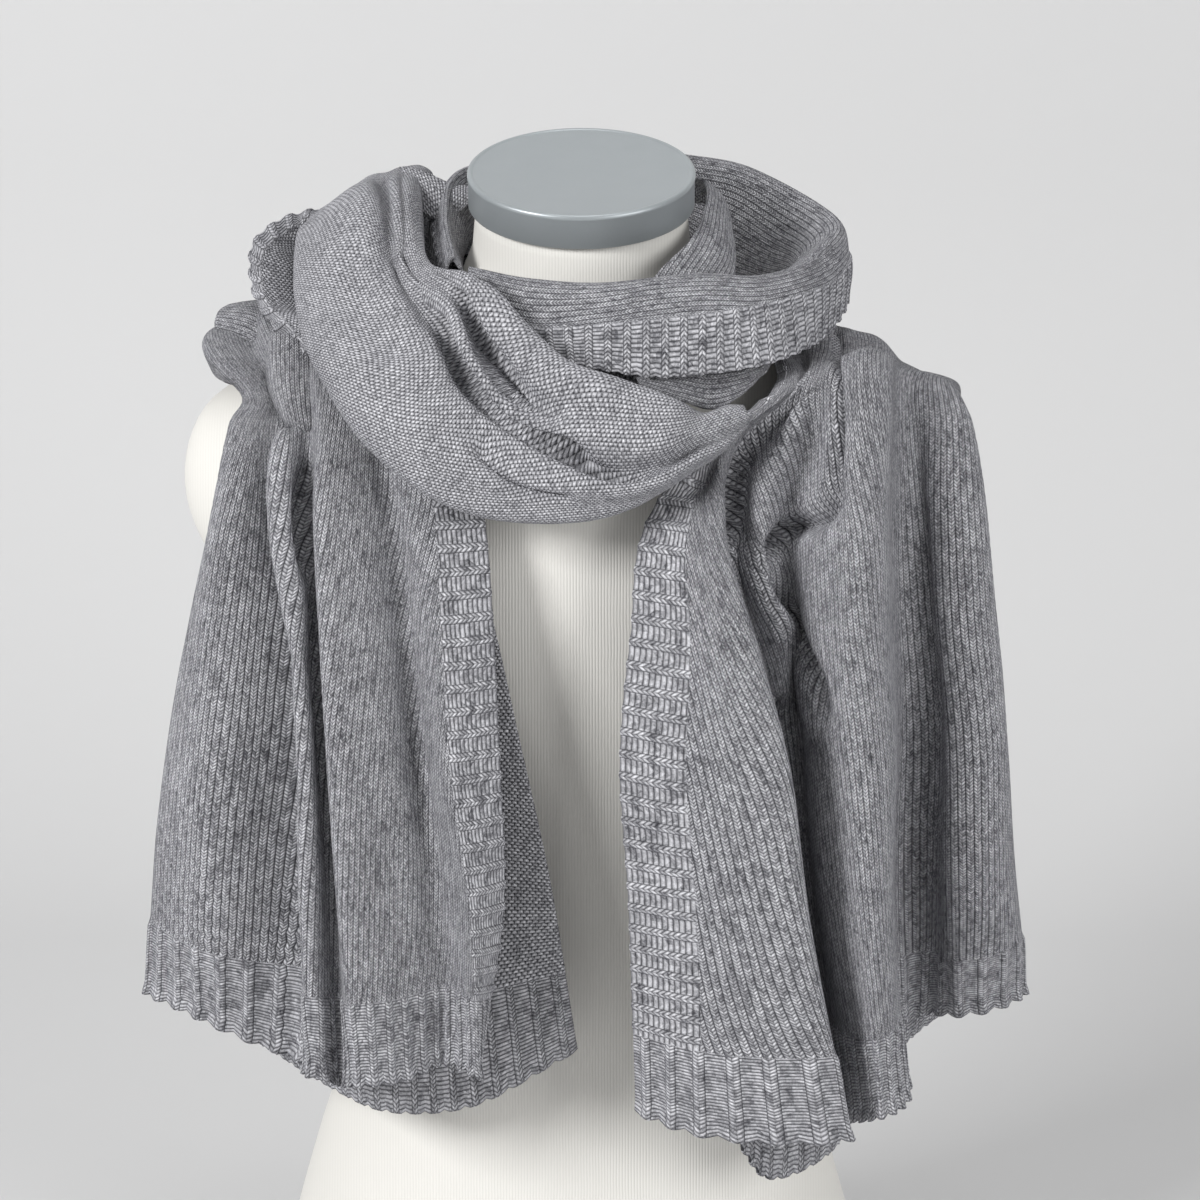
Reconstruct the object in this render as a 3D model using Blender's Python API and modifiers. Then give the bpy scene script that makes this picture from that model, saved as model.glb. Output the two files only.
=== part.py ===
"""A knitted stole worn on a limbless dress form: the construction model.

The stole is wound once round the neck. Its middle crosses the chest as a cowl, its upper edge is
turned down as a neck band, and both ends come forward over the shoulders and hang as two folded
panels. Every stretch is one wall of knit, lofted through fold lines given in millimetres.

Axes: +X to the right seen from the front, +Y to the back, +Z up. The origin is on the flat
underside of the form, below its neck.
"""

from math import acos, cos, pi, radians, sin
from typing import Callable, NamedTuple

import bmesh
import bpy
import numpy as np
from mathutils import Euler, Vector

MM = 0.001
OBJECT_NAME = "stole_on_dress_form"

# Driving dimensions, in millimetres and degrees
FORM_HEIGHT = 700.0
CAP_DIAMETER = 118.0
CAP_HEIGHT = 18.7
CAP_TILT = 13.4
CAP_EDGE_RADIUS = 2.5
CAP_TOP_Y = -10.0
CAP_SEGMENTS = 48
PART_GAP = 0.3
WALL = 1.8
RIB_PITCH = 11.5
RIB_HEIGHT = 1.3
HEM_DEPTH = 46.0
FAR_BORDER_WIDTH = 26.0  # the ribbed border on the edge that hangs behind
SCALLOP_DROP = 3.0
SEAM_GAP = 0.7
END_GAP = 1.2  # clears the hem below the panel and the wrap above it
UNDER_LAYER_PLEAT = 0.2  # share of a pleat that the layer underneath takes up
CORE_DEPTH = 60.0  # how far below a cut the point lies that its outer side faces away from

# How finely the walls are cut into faces, in millimetres or in rows of half a rib
PANEL_CELL = 14.0
PANEL_ROW_STEP = 5
CHEST_ROW_STEP = 2
WRAP_CELL = 30.0
COWL_CELL = 11.0
COWL_ROW = 24.0
BAND_CELL = 9.0
BAND_ROW = 19.0
STRIP_CELL = 6.0
KNOT_REACH = 2.0  # a fold line nearer than this to an end gets no row of its own

# Places of some rows and columns in the tables below
PANEL_SPANS = 5
BUST_SPANS = 4
RIB_LINE_COLUMN = 3

# Heights of the level sections of both hanging panels
KNOT_Z = 577.0
BUST_Z = 545.0
RIB_CAGE_Z = 487.0
WAIST_Z = 423.0
HIP_Z = 355.0

YARN_GREY = (0.30, 0.30, 0.325, 1.0)
JERSEY_WHITE = (0.84, 0.83, 0.79, 1.0)
BRUSHED_METAL = (0.42, 0.45, 0.47, 1.0)


class FormSection(NamedTuple):
    """One level of the dress form: an ellipse, tipped forward near the neck.

    The torso stands a little to the left of the neck, because the form is turned slightly.
    """

    z: float
    half_width: float
    half_depth: float
    centre_x: float
    centre_y: float
    tilt: float


class FoldLine(NamedTuple):
    """One crease or crest of a hanging panel, followed from the chest to the hem."""

    name: str
    across: float  # place in the bundle over the shoulder: 0 beside the neck, 1 outermost
    layer: int  # over the shoulder: 1 for the upper layer, 0 for the one folded under it
    crest: float  # over the shoulder: 1 for a crest, -1 for a crease
    chest: tuple
    knot: tuple
    bust: tuple
    rib_cage: tuple
    waist: tuple
    hip: tuple
    hem: tuple


class WrapStation(NamedTuple):
    """One cut through the bundle where it passes over the shoulder and behind the neck."""

    name: str
    inner: tuple
    outer: tuple
    arch: float  # rise of the bundle's middle over the straight line from inner to outer
    lift_inner: float  # distance between the two layers beside the neck
    lift_outer: float  # and at the outer fold
    pleat: float


class CowlStation(NamedTuple):
    """One cut across the cowl, from its rolled upper edge to its lower fold."""

    name: str
    tail: tuple
    roll: tuple
    upper: tuple
    short_crease: tuple
    crest: tuple
    deep_crease: tuple
    belly: tuple
    lower: tuple
    bottom: tuple
    under: tuple


class BandStation(NamedTuple):
    """One cut through the neck band: up the inner wall, over the fold and down outside."""

    name: str
    deep: tuple
    inner: tuple
    top: tuple
    rib_line: tuple
    edge: tuple


class ShoulderFoldStation(NamedTuple):
    """One cut across the hood-shaped fold on the left shoulder."""

    name: str
    behind: tuple
    rim: tuple
    middle: tuple
    pocket: tuple


class StripStation(NamedTuple):
    """One cut across the strip that hugs the neck."""

    name: str
    rolled_edge: tuple
    middle: tuple
    lower_edge: tuple


FORM_SECTIONS = (
    FormSection(0.0, 163.0, 101.0, -6.0, 0.0, 0.0),
    FormSection(4.0, 166.0, 104.0, -6.0, 0.0, 0.0),
    FormSection(36.0, 168.0, 107.0, -6.0, 0.0, 0.0),
    FormSection(74.0, 164.0, 105.0, -6.0, 0.0, 0.0),
    FormSection(113.0, 154.0, 101.0, -6.0, 0.0, 0.0),
    FormSection(156.0, 142.0, 96.0, -6.0, 0.0, 0.0),
    FormSection(205.0, 127.0, 90.0, -6.0, 0.0, 0.0),
    FormSection(255.0, 119.0, 86.0, -6.0, 0.0, 0.0),
    FormSection(310.0, 122.0, 89.0, -6.0, 0.0, 0.0),
    FormSection(365.0, 136.0, 95.0, -6.0, 0.0, 0.0),
    FormSection(420.0, 154.0, 100.0, -6.0, 0.0, 0.0),
    FormSection(465.0, 173.0, 103.0, -6.0, 0.0, 0.0),
    FormSection(495.0, 194.0, 103.0, -6.0, 0.0, 0.0),
    FormSection(525.0, 205.0, 99.0, -6.0, 0.0, 0.0),
    FormSection(550.0, 204.0, 91.0, -6.0, 1.0, 0.0),
    FormSection(572.0, 194.0, 82.0, -6.0, 2.0, 0.0),
    FormSection(590.0, 168.0, 75.0, -6.0, 3.0, 0.0),
    FormSection(606.0, 131.0, 70.0, -4.0, 3.0, 0.0),
    FormSection(622.0, 92.0, 65.0, -2.0, 2.0, 2.0),
    FormSection(640.0, 65.0, 60.0, -1.0, 0.0, 6.0),
    FormSection(660.0, 57.0, 56.0, 0.0, -3.0, 10.0),
)
NECK_TOP_RADIUS = 55.0
FORM_SEGMENTS = 32

LEFT_FOLDS = (
    FoldLine("inner edge", 0.00, 1, 0.0, (-65, -84, 600), (-56, -98), (-49, -114),
             (-44, -132), (-41, -145), (-39, -152), (-54, -148, 252)),
    FoldLine("border crest", 0.09, 1, 0.5, (-86, -81, 601), (-80, -99), (-74, -118),
             (-70, -142), (-66, -156), (-57, -164), (-54, -168, 262)),
    FoldLine("first crease", 0.22, 1, -1.0, (-108, -71, 599), (-104, -89), (-98, -106),
             (-90, -126), (-82, -139), (-73, -146), (-72, -151, 262)),
    FoldLine("front fold middle", 0.34, 1, 0.6, (-121, -68, 599), (-118, -90), (-115, -111),
             (-108, -136), (-101, -150), (-95, -157), (-92, -166, 259)),
    FoldLine("front fold crest", 0.46, 1, 1.0, (-134, -62, 601), (-132, -87), (-131, -113),
             (-127, -139), (-123, -155), (-119, -162), (-113, -172, 259)),
    FoldLine("narrow crease", 0.56, 1, -1.0, (-142, -55, 600), (-140, -75), (-139, -98),
             (-135, -121), (-131, -137), (-127, -144), (-124, -152, 250)),
    FoldLine("narrow ridge", 0.66, 1, 1.0, (-150, -54, 598), (-150, -78), (-149, -104),
             (-144, -128), (-140, -146), (-139, -151), (-136, -160, 258)),
    FoldLine("dark valley", 0.77, 1, -1.0, (-157, -46, 594), (-157, -64), (-157, -84),
             (-154, -101), (-152, -110), (-153, -112), (-155, -112, 247)),
    FoldLine("side face", 0.89, 1, 1.0, (-165, -50, 590), (-169, -66), (-173, -79),
             (-177, -84), (-182, -88), (-189, -91), (-196, -88, 262)),
    FoldLine("side fold", 1.00, 1, 0.0, (-176, -42, 587), (-181, -57), (-186, -66),
             (-200, -61), (-215, -55), (-226, -53), (-235, -53, 263)),
    FoldLine("side return", 0.99, 0, 0.0, (-173, -31, 587), (-176, -45), (-179, -54),
             (-190, -44), (-203, -34), (-212, -30), (-221, -28, 258)),
    FoldLine("back layer outer", 0.84, 0, 1.0, (-160, -32, 589), (-158, -52), (-157, -70),
             (-162, -70), (-168, -64), (-174, -62), (-180, -62, 240)),
    FoldLine("back layer crease", 0.64, 0, -1.0, (-140, -42, 594), (-138, -62), (-136, -79),
             (-137, -86), (-139, -85), (-142, -84), (-148, -84, 228)),
    FoldLine("back layer crest", 0.42, 0, 1.0, (-118, -52, 597), (-115, -73), (-112, -89),
             (-110, -101), (-108, -110), (-104, -114), (-104, -118, 221)),
    FoldLine("back layer inner", 0.22, 0, -0.6, (-96, -60, 599), (-92, -78), (-88, -93),
             (-84, -104), (-79, -108), (-72, -108), (-62, -118, 222)),
    FoldLine("far edge", 0.04, 0, 0.0, (-76, -68, 600), (-67, -85), (-60, -99),
             (-45, -109), (-31, -117), (-17, -121), (-2, -125, 258)),
)

LEFT_WRAP = (
    WrapStation("front of shoulder", (-87, -44, 612), (-190, -26, 592), 5.0, 5.0, 8.0, 2.5),
    WrapStation("top of shoulder", (-90, 5, 634), (-197, 5, 595), 7.0, 7.0, 10.0, 4.5),
    WrapStation("back of shoulder", (-82, 52, 625), (-184, 60, 574), 8.0, 7.0, 11.0, 5.0),
    WrapStation("left of spine", (-46, 76, 642), (-108, 100, 552), 4.0, 7.0, 9.0, 3.5),
    WrapStation("nape", (0, 76, 648), (6, 107, 548), 2.0, 7.0, 8.0, 3.0),
    WrapStation("right of spine", (34, 76, 646), (48, 104, 560), 2.0, 6.0, 7.0, 2.5),
)

RIGHT_FOLDS = (
    FoldLine("inner edge", 0.00, 1, 0.0, (88, -92, 606), (50, -103), (35, -123),
             (25, -144), (20, -150), (24, -155), (28, -158, 238)),
    FoldLine("border crest", 0.04, 1, 0.3, (93, -95, 607), (57, -107), (54, -133),
             (54, -162), (52, -170), (57, -171), (62, -175, 233)),
    FoldLine("front fold middle", 0.08, 1, 0.0, (98, -97, 607), (63, -110), (63, -139),
             (71, -169), (77, -176), (85, -178), (99, -181, 231)),
    FoldLine("front fold crest", 0.12, 1, 0.2, (103, -95, 606), (69, -108), (72, -136),
             (89, -165), (105, -172), (114, -175), (137, -178, 231)),
    FoldLine("front fold return", 0.16, 1, 0.0, (107, -92, 606), (74, -102), (72, -121),
             (83, -142), (97, -146), (106, -147), (128, -151, 226)),
    FoldLine("first crease", 0.21, 1, 0.0, (112, -88, 606), (83, -98), (78, -108),
             (86, -119), (97, -120), (105, -121), (123, -128, 216)),
    FoldLine("twisted layer", 0.28, 1, 0.3, (119, -86, 608), (99, -105), (91, -120),
             (100, -126), (106, -120), (111, -114), (131, -118, 214)),
    FoldLine("pocket", 0.36, 1, -0.5, (126, -82, 611), (116, -94), (106, -103),
             (109, -109), (113, -110), (118, -111), (138, -116, 218)),
    FoldLine("tube fold side", 0.43, 1, 0.2, (132, -85, 615), (126, -110), (119, -125),
             (116, -134), (118, -138), (124, -142), (143, -142, 226)),
    FoldLine("tube fold crest", 0.52, 1, 1.8, (141, -87, 619), (137, -122), (134, -140),
             (132, -150), (135, -155), (141, -160), (153, -165, 238)),
    FoldLine("tube fold far side", 0.63, 1, 0.4, (156, -72, 612), (154, -101), (152, -119),
             (152, -130), (157, -135), (157, -140), (168, -146, 240)),
    FoldLine("dark valley", 0.75, 1, -0.5, (165, -60, 604), (163, -73), (163, -81),
             (165, -82), (169, -80), (169, -78), (173, -78, 254)),
    FoldLine("side face", 0.87, 1, 0.8, (178, -50, 599), (180, -68), (181, -82),
             (184, -90), (191, -93), (194, -93), (199, -88, 264)),
    FoldLine("side fold", 1.00, 1, 0.0, (193, -37, 590), (198, -48), (204, -56),
             (212, -57), (222, -53), (229, -51), (239, -49, 261)),
    FoldLine("side return", 0.99, 0, 0.0, (187, -29, 586), (192, -38), (199, -43),
             (204, -42), (212, -34), (218, -30), (226, -26, 256)),
    FoldLine("back layer outer", 0.86, 0, 1.0, (172, -35, 591), (174, -49), (176, -62),
             (177, -66), (180, -60), (184, -56), (186, -56, 236)),
    FoldLine("back layer crease", 0.66, 0, -1.0, (152, -45, 596), (148, -62), (147, -77),
             (145, -85), (147, -84), (150, -80), (158, -82, 214)),
    FoldLine("back layer crest", 0.42, 0, 0.6, (130, -54, 600), (125, -72), (123, -86),
             (122, -90), (123, -87), (125, -84), (132, -100, 188)),
    FoldLine("back layer inner", 0.24, 0, -0.4, (113, -63, 601), (103, -78), (98, -90),
             (96, -97), (96, -96), (98, -97), (100, -114, 180)),
    FoldLine("far edge", 0.08, 0, 0.0, (100, -70, 602), (84, -84), (77, -96),
             (73, -104), (71, -105), (74, -108), (84, -124, 203)),
)

RIGHT_WRAP = (
    WrapStation("front of shoulder", (95, -48, 607.5), (196, -15, 577), 6.5, 7.0, 9.0, 2.0),
    WrapStation("top of shoulder", (92, 6, 626.5), (198, 10, 567), 5.5, 6.0, 7.0, 2.0),
    WrapStation("back of shoulder", (84, 52, 615), (188, 56, 548), 8.0, 6.0, 8.0, 2.5),
    WrapStation("right of spine", (56, 92, 632), (128, 112, 540), 6.0, 7.0, 9.0, 3.5),
    WrapStation("nape", (0, 103, 637), (16, 134, 542), 2.0, 7.0, 9.0, 3.5),
    WrapStation("left of spine", (-60, 106, 660), (-98, 132, 580), 4.0, 7.0, 8.0, 3.0),
    WrapStation("over the left shoulder", (-88, 60, 672), (-140, 84, 642), 5.0, 6.0, 7.0, 2.5),
)

COWL_STATIONS = (
    CowlStation("behind the shoulder", (-82, 66, 681), (-82, 62, 687), (-88, 64, 690),
                (-94, 66, 689), (-100, 68, 688), (-106, 70, 685), (-116, 74, 681),
                (-132, 80, 670), (-148, 84, 652), (-147, 80, 645)),
    CowlStation("shoulder crest", (-84, 8, 672), (-86, 10, 681), (-91, 6, 686),
                (-95, 2, 684), (-98, 0, 684), (-102, -2, 679), (-114, 0, 684),
                (-133, 4, 676), (-150, 20, 659), (-148, 22, 650)),
    CowlStation("neck side", (-76, -40, 648), (-78, -47, 657), (-83, -52, 659),
                (-87, -52, 656), (-90, -55, 656), (-94, -51, 650), (-106, -62, 651),
                (-128, -60, 647), (-147, -32, 636), (-145, -24, 628)),
    CowlStation("left chest", (-52, -74, 648), (-53, -82, 657), (-59, -91, 653),
                (-62, -87, 645), (-67, -97, 640), (-73, -88, 629), (-87, -107, 624),
                (-115, -104, 618), (-132, -78, 606), (-129, -70, 603)),
    CowlStation("collar bone", (-30, -92, 626), (-31, -101, 636), (-40, -112, 632),
                (-46, -104, 625), (-54, -118, 620), (-60, -107, 606), (-72, -130, 598),
                (-90, -131, 585), (-104, -110, 576), (-101, -102, 577)),
    CowlStation("left of centre", (-10, -107, 611), (-11, -116, 621), (-20, -127, 616),
                (-26, -128, 607), (-33, -135, 598), (-36, -127, 586), (-42, -145, 576),
                (-49, -146, 562), (-58, -133, 551), (-55, -125, 553)),
    CowlStation("right of centre", (21, -117, 604), (20, -126, 614), (15, -138, 609),
                (11, -143, 600), (6, -150, 590), (5, -140, 573), (4, -151, 566),
                (2, -149, 556), (1, -136, 548), (2, -127, 550)),
    CowlStation("right chest", (50, -120, 596), (49, -128, 604), (46, -140, 600),
                (44, -144, 594), (42, -149, 586), (40, -141, 575), (40, -148, 570),
                (39, -146, 564), (38, -136, 560), (39, -129, 562)),
    CowlStation("tip", (83, -116, 597), (82, -121, 602), (82, -127, 601),
                (81, -130, 598), (80, -131, 595), (79, -129, 591), (78, -130, 588),
                (78, -127, 586), (77, -122, 583), (78, -117, 585)),
)

BAND_STATIONS = (
    BandStation("left start", (-53, -62, 626), (-54, -57, 640), (-57, -54, 657),
                (-57, -65, 647), (-55, -71, 632)),
    BandStation("throat left", (-18, -84, 600), (-20, -75, 634), (-21, -79, 655),
                (-23, -90, 634), (-20, -95, 618)),
    BandStation("throat", (12, -86, 592), (10, -79, 634), (10, -87, 655),
                (10, -98, 637), (10, -104, 616)),
    BandStation("throat right", (36, -90, 592), (34, -80, 634), (35, -89, 658),
                (35, -101, 640), (35, -108, 613)),
    BandStation("right front", (62, -86, 598), (58, -74, 637), (60, -83, 659),
                (60, -98, 642), (60, -106, 614)),
    BandStation("right turn", (85, -58, 630), (84, -58, 642), (91, -67, 655),
                (92, -82, 644), (95, -94, 617)),
    BandStation("right of neck", (96, -32, 638), (99, -36, 647), (112, -45, 656),
                (113, -60, 645), (115, -71, 620)),
    BandStation("right side", (106, -4, 641), (114, -6, 651), (130, -10, 662),
                (132, -20, 645), (130, -30, 622)),
    BandStation("right widest", (106, 18, 638), (117, 20, 652), (136, 20, 666),
                (141, 18, 650), (140, 13, 630)),
    BandStation("right behind", (90, 44, 633), (101, 49, 655), (118, 57, 675),
                (125, 64, 659), (127, 69, 638)),
    BandStation("back right", (68, 58, 636), (77, 65, 666), (87, 75, 688),
                (94, 87, 670), (98, 94, 650)),
    BandStation("behind the cap", (49, 64, 659), (54, 70, 674), (61, 81, 692),
                (64, 94, 675), (67, 101, 653)),
    BandStation("nape", (6, 70, 660), (8, 76, 676), (10, 88, 694),
                (10, 102, 677), (10, 109, 655)),
    BandStation("back left", (-33, 60, 662), (-37, 64, 675), (-43, 73, 691),
                (-49, 84, 677), (-52, 90, 659)),
    BandStation("left of cap", (-58, 26, 657), (-62, 28, 672), (-69, 32, 688),
                (-76, 35, 674), (-78, 36, 660)),
    BandStation("left side", (-62.6, -4, 650), (-66, -3, 661), (-71, -2, 672),
                (-75, -3, 664), (-77, -4, 654)),
    BandStation("left end", (-60, -33, 641), (-62, -34, 651), (-66, -36, 659),
                (-70, -38, 652), (-71, -39, 645)),
)

SHOULDER_FOLD_STATIONS = (
    ShoulderFoldStation("behind the cowl", (-146, 74, 668), (-148, 60, 683),
                        (-146, 50, 682), (-142, 45, 675)),
    ShoulderFoldStation("crest", (-161, 58, 654), (-168, 38, 668),
                        (-162, 27, 667), (-155, 27, 660)),
    ShoulderFoldStation("outermost", (-169, 40, 641), (-178, 14, 652),
                        (-171, 5, 651), (-161, 11, 645)),
    ShoulderFoldStation("coming forward", (-170, 18, 631), (-177, -2, 635),
                        (-169, -10, 634), (-159, -4, 633)),
    ShoulderFoldStation("front", (-165, -12, 625), (-169, -24, 626),
                        (-162, -31, 627), (-155, -25, 629)),
    ShoulderFoldStation("under the cowl", (-156, -37, 618), (-159, -45, 617),
                        (-155, -50, 618), (-151, -46, 620)),
)

STRIP_STATIONS = (
    StripStation("behind the cap", (51, 65, 686), (52, 66, 680), (51, 67, 671)),
    StripStation("back right", (65, 33, 687), (72, 37, 681), (75, 38, 672)),
    StripStation("right of cap", (64, -5, 678), (73, -3, 674), (79, 0, 664)),
    StripStation("right front", (54, -42, 667), (68, -41, 662), (79, -37, 653)),
    StripStation("below the cap", (38, -67, 656), (58, -63, 652), (77, -53, 644)),
    StripStation("throat", (28, -76, 642), (49, -74, 638), (70, -66, 631)),
)


def remove_scene_objects() -> None:
    """Empty the scene that the script starts in."""
    for item in list(bpy.data.objects):
        bpy.data.objects.remove(item, do_unlink=True)


def make_material(name: str, colour: tuple, roughness: float, metallic: float = 0.0):
    """A Principled material with the part's colour."""
    material = bpy.data.materials.new(name)
    material.use_nodes = True
    shader = material.node_tree.nodes["Principled BSDF"]
    shader.inputs["Base Color"].default_value = colour
    shader.inputs["Roughness"].default_value = roughness
    shader.inputs["Metallic"].default_value = metallic
    material.diffuse_color = colour
    return material


def add_object(name: str, mesh: bmesh.types.BMesh, material) -> bpy.types.Object:
    """Turn a bmesh into a named object in the part's collection."""
    data = bpy.data.meshes.new(name)
    mesh.to_mesh(data)
    mesh.free()
    data.materials.append(material)
    data.shade_smooth()
    item = bpy.data.objects.new(name, data)
    bpy.data.collections[OBJECT_NAME].objects.link(item)
    return item


def through_points(knots: np.ndarray, values: np.ndarray, places: np.ndarray) -> np.ndarray:
    """Read a smooth curve that passes through values at knots, at each of places."""
    steps = np.diff(knots)
    shape = (-1,) + (1,) * (values.ndim - 1)
    slopes = np.diff(values, axis=0) / steps.reshape(shape)
    before = steps[:-1].reshape(shape)
    after = steps[1:].reshape(shape)
    tangents = np.empty_like(values)
    tangents[1:-1] = (slopes[:-1] * after + slopes[1:] * before) / (before + after)
    tangents[0] = slopes[0]
    tangents[-1] = slopes[-1]
    cell = np.clip(np.searchsorted(knots, places, side="right") - 1, 0, len(knots) - 2)
    width = steps[cell].reshape(shape)
    t = ((places - knots[cell]) / steps[cell]).reshape(shape)
    start = (2 * t**3 - 3 * t**2 + 1) * values[cell] + (t**3 - 2 * t**2 + t) * width * tangents[cell]
    end = (3 * t**2 - 2 * t**3) * values[cell + 1] + (t**3 - t**2) * width * tangents[cell + 1]
    return start + end


def knots_by_length(net: np.ndarray, axis: int) -> np.ndarray:
    """Knots spaced by the mean length between neighbouring rows of the net."""
    lengths = np.linalg.norm(np.diff(net, axis=axis), axis=2).mean(axis=1 - axis)
    return np.concatenate(([0.0], np.cumsum(lengths)))


class KnitSurface:
    """A smooth sheet through a net of points, read by millimetres across and along it."""

    STEP = 0.5

    def __init__(self, net: np.ndarray):
        self.net = net
        self.across_knots = knots_by_length(net, axis=0)
        self.along_knots = knots_by_length(net, axis=1)

    @property
    def width(self) -> float:
        return float(self.across_knots[-1])

    @property
    def length(self) -> float:
        return float(self.along_knots[-1])

    def points(self, across: np.ndarray, along: np.ndarray) -> np.ndarray:
        """The surface's points on the grid of across and along places."""
        rows = through_points(self.along_knots, self.net.transpose(1, 0, 2), along)
        return through_points(self.across_knots, rows.transpose(1, 0, 2), across)

    def directions(self, across: np.ndarray, along: np.ndarray) -> tuple:
        """Unit vectors along the sheet and out of it, on the same grid."""
        side = self.points(across + self.STEP, along) - self.points(across - self.STEP, along)
        run = self.points(across, along + self.STEP) - self.points(across, along - self.STEP)
        out = np.cross(side, run)
        run /= np.linalg.norm(run, axis=2, keepdims=True)
        out /= np.linalg.norm(out, axis=2, keepdims=True)
        return run, out


def plain(column: int, row: int) -> float:
    """No relief."""
    return 0.0


def ribs_along(column: int, row: int) -> float:
    """Ribs that run along the sheet: every other column of points is raised."""
    return RIB_HEIGHT * (column % 2)


def ribs_across(column: int, row: int) -> float:
    """Ribs that run across the sheet: every other row of points is raised."""
    return RIB_HEIGHT * (row % 2)


def knit_wall(name: str, surface: KnitSurface, across: np.ndarray, along: np.ndarray,
              face: int, relief: Callable = plain, scallops: bool = False) -> bpy.types.Object:
    """A closed wall of knit on part of a surface, its outer points raised by the relief."""
    columns, rows = len(across) - 1, len(along) - 1
    middle = surface.points(across, along)
    run, out = surface.directions(across, along)
    mesh = bmesh.new()
    bmesh.ops.create_grid(mesh, x_segments=columns, y_segments=rows, size=0.5)
    grown = bmesh.ops.extrude_face_region(mesh, geom=mesh.faces[:])
    outer_points = {item for item in grown["geom"] if isinstance(item, bmesh.types.BMVert)}
    for vertex in mesh.verts:
        column = round((vertex.co.x + 0.5) * columns)
        row = round((vertex.co.y + 0.5) * rows)
        offset = -WALL / 2
        if vertex in outer_points:
            offset = WALL / 2 + relief(column, row)
        place = middle[column, row] + out[column, row] * face * offset
        if scallops and row == 0 and column % 2:
            place = place - run[column, row] * SCALLOP_DROP
        vertex.co = Vector(place) * MM
    bmesh.ops.recalc_face_normals(mesh, faces=mesh.faces[:])
    if mesh.calc_volume(signed=True) < 0:
        bmesh.ops.reverse_faces(mesh, faces=mesh.faces[:])
    return add_object(name, mesh, make_material(f"{name}_knit", YARN_GREY, 0.92))


def build_form() -> bpy.types.Object:
    """The dress form's torso, from a sphere whose rings take the sections' places."""
    sections = FORM_SECTIONS + (
        FormSection(FORM_HEIGHT, NECK_TOP_RADIUS, NECK_TOP_RADIUS, 0.0, CAP_TOP_Y, CAP_TILT),)
    rings = len(sections)
    mesh = bmesh.new()
    bmesh.ops.create_uvsphere(mesh, u_segments=FORM_SEGMENTS, v_segments=rings + 1, radius=1.0)
    cap_axis = Vector((0.0, -sin(radians(CAP_TILT)), cos(radians(CAP_TILT))))
    neck_top = Vector((0.0, CAP_TOP_Y, FORM_HEIGHT)) - cap_axis * (CAP_HEIGHT + PART_GAP)
    for vertex in mesh.verts:
        polar = acos(max(-1.0, min(1.0, vertex.co.z)))
        ring = round((1.0 - polar / pi) * (rings + 1)) - 1
        section = sections[max(0, min(rings - 1, ring))]
        centre = Vector((section.centre_x, section.centre_y, section.z))
        if ring >= rings - 1:
            centre = neck_top
        flat = Vector((vertex.co.x, vertex.co.y, 0.0))
        if flat.length > 1e-4:
            flat.normalize()
        place = Vector((flat.x * section.half_width, flat.y * section.half_depth, 0.0))
        place.rotate(Euler((radians(section.tilt), 0.0, 0.0)))
        vertex.co = (centre + place) * MM
    return add_object("form_body", mesh, make_material("form_jersey", JERSEY_WHITE, 0.85))


def build_cap() -> bpy.types.Object:
    """The metal cap that closes the neck, tipped forward with it."""
    mesh = bmesh.new()
    radius = CAP_DIAMETER / 2 * MM
    bmesh.ops.create_cone(mesh, cap_ends=True, segments=CAP_SEGMENTS, radius1=radius, radius2=radius,
                          depth=CAP_HEIGHT * MM)
    cap = add_object("form_cap", mesh, make_material("cap_metal", BRUSHED_METAL, 0.35, 0.8))
    cap_axis = Vector((0.0, -sin(radians(CAP_TILT)), cos(radians(CAP_TILT))))
    top = Vector((0.0, CAP_TOP_Y, FORM_HEIGHT))
    cap.location = (top - cap_axis * CAP_HEIGHT / 2) * MM
    cap.rotation_euler = (radians(CAP_TILT), 0.0, 0.0)
    edge = cap.modifiers.new("rounded edge", "BEVEL")
    edge.width = CAP_EDGE_RADIUS * MM
    edge.segments = 1
    edge.limit_method = "ANGLE"
    return cap


def level_point(place: tuple, z: float) -> tuple:
    """A fold line's point on one of the level sections."""
    return (place[0], place[1], z)


def wrap_points(folds: tuple, stations: tuple) -> np.ndarray:
    """Where each fold line passes each cut over the shoulder and behind the neck."""
    middles = [(Vector(cut.inner) + Vector(cut.outer)) / 2 for cut in stations]
    points = np.empty((len(folds), len(stations), 3))
    for index, cut in enumerate(stations):
        inner = Vector(cut.inner)
        side = Vector(cut.outer) - inner
        path = middles[min(index + 1, len(middles) - 1)] - middles[max(index - 1, 0)]
        out = side.cross(path).normalized()
        form_core = Vector((0.0, 0.0, middles[index].z - CORE_DEPTH))
        if out.dot(middles[index] - form_core) < 0:
            out.negate()
        for row, fold in enumerate(folds):
            lift = cut.lift_inner + (cut.lift_outer - cut.lift_inner) * fold.across
            rise = cut.arch * 4.0 * fold.across * (1.0 - fold.across)
            pleat = cut.pleat * fold.crest * (1.0 if fold.layer else UNDER_LAYER_PLEAT)
            raised = rise + lift * fold.layer + pleat
            points[row, index] = inner + side * fold.across + out * raised
    return points


def strand_surface(folds: tuple, stations: tuple) -> KnitSurface:
    """One end of the stole, from its hem up the chest, over the shoulder and behind the neck."""
    panel = np.array([
        [fold.hem, level_point(fold.hip, HIP_Z), level_point(fold.waist, WAIST_Z),
         level_point(fold.rib_cage, RIB_CAGE_Z), level_point(fold.bust, BUST_Z),
         level_point(fold.knot, KNOT_Z), fold.chest]
        for fold in folds], dtype=float)
    return KnitSurface(np.concatenate((panel, wrap_points(folds, stations)), axis=1))


def spaced(start: float, end: float, step: float) -> np.ndarray:
    """Places from start to end, about one step apart."""
    return np.linspace(start, end, max(1, round((end - start) / step)) + 1)


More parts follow.
